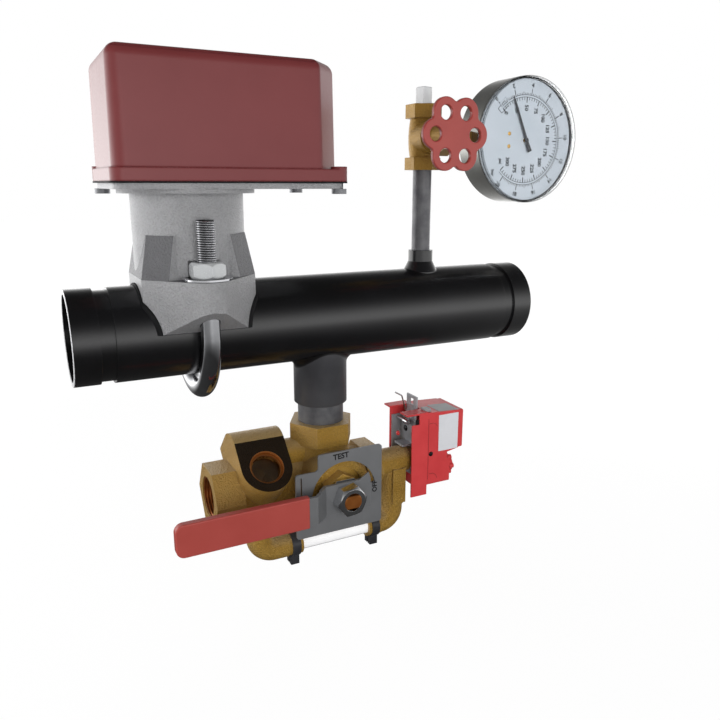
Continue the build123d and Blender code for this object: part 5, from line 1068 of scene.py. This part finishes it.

# %% [markdown]
# The supervisory switch carries a bare white label and a dark screw on its front, a grey
# label and a clip on top, a black rivet on the frame, and a black patch of painted shade
# where its bracket has a slot. A thin dark line of painted shade, along the step where the
# bracket stands before the housing, and two beads are raised on its front. Inside the bracket
# a red button stands beside the wire that trips it.

# %% Switch labels and small parts
SWITCH_FRONT = -17.0
UPWARD, LEFTWARD = (0.0, 0.0, 1.0), (-1.0, 0.0, 0.0)
label_white = finish("label_white", (204, 205, 209), (210, 211, 215), (216, 217, 221), wear=0.0, grain=0.5,
                     height=0.002, roughness=0.45)
label_grey = finish("label_grey", (138, 139, 141), (144, 145, 147), (160, 160, 162), wear=0.0, grain=0.5,
                    height=0.002)
groove_red = finish("groove_red", (140, 42, 43), (146, 45, 45), (160, 60, 58), wear=0.0, grain=0.5,
                    height=0.002, roughness=0.5)
black_oxide = finish("black_oxide", (28, 28, 30), (40, 40, 42), (90, 90, 92), edge=0.2, grain=0.5,
                     height=0.004, metallic=0.6, roughness=0.3)


def on_front(*places):
    """Points on the switch's front face, from their x and z."""
    return np.array([(x, SWITCH_FRONT, z) for x, z in places])


def patch(name, ring, normal, low, high, material):
    """A flat piece over a ring of corners, from low to high along its normal."""
    printed(name, [slab(ring, normal, low, high)], material)


def scribed(name, path, width=0.5):
    """A thin raised line on the switch's front face; each side is half a width from the path."""
    path = on_front(*path)
    side = np.cross(np.gradient(path, axis=0), TOWARD_VIEWER)
    side *= width / 2 / np.linalg.norm(side, axis=1, keepdims=True)
    patch(name, [*(path + side), *(path - side)[::-1]], TOWARD_VIEWER, PRINT_LOW, PRINT_HIGH, groove_red)


patch("switch_front_label", on_front((261.8, -84.4), (280.4, -84.4), (280.4, -114.6), (262.2, -114.6)),
      TOWARD_VIEWER, PRINT_LOW, 0.12, label_white)
button("housing_screw", (255.2, SWITCH_FRONT, -115.6), TOWARD_VIEWER, 2.0, 0.9, black_oxide)
button("frame_rivet", (246.0, 7.0, -100.0), LEFTWARD, 2.6, 1.2, black_oxide)
button("red_button", (238.0, 5.0, -102.3), LEFTWARD, 2.1, 2.0, signal_red)
patch("switch_top_label", [(262.4, -15.9, -81.6), (281.0, -15.9, -82.6), (281.0, 2.0, -82.6),
                           (262.4, 2.0, -81.6)], UPWARD, -0.3, 0.12, label_grey)
# Painted shade: a black patch stands where the bracket's slot opens.
patch("bracket_slot_shade", on_front((240.6, -85.4), (244.8, -85.4), (244.8, -89.4), (240.6, -89.4)),
      TOWARD_VIEWER, -0.6, 0.05, black_oxide)
# Painted shade: a dark red line along the step between the bracket and the housing.
scribed("step_shade_line", [(252.6, -86.0), (252.8, -137.0)], 0.45)
scribed("upper_bead", [(253.6, -90.2), (257.0, -90.0), (259.2, -91.0), (260.7, -93.4)])
scribed("lower_bead", [(253.8, -132.4), (257.6, -132.4), (260.0, -134.0), (261.6, -137.0)])
patch("top_clip", [(250.4, -8.0, -80.0), (256.2, -8.0, -80.2), (256.2, -14.0, -80.2), (250.4, -14.0, -80.0)],
      UPWARD, -1.2, 1.4, label_grey)
print("small parts ready")
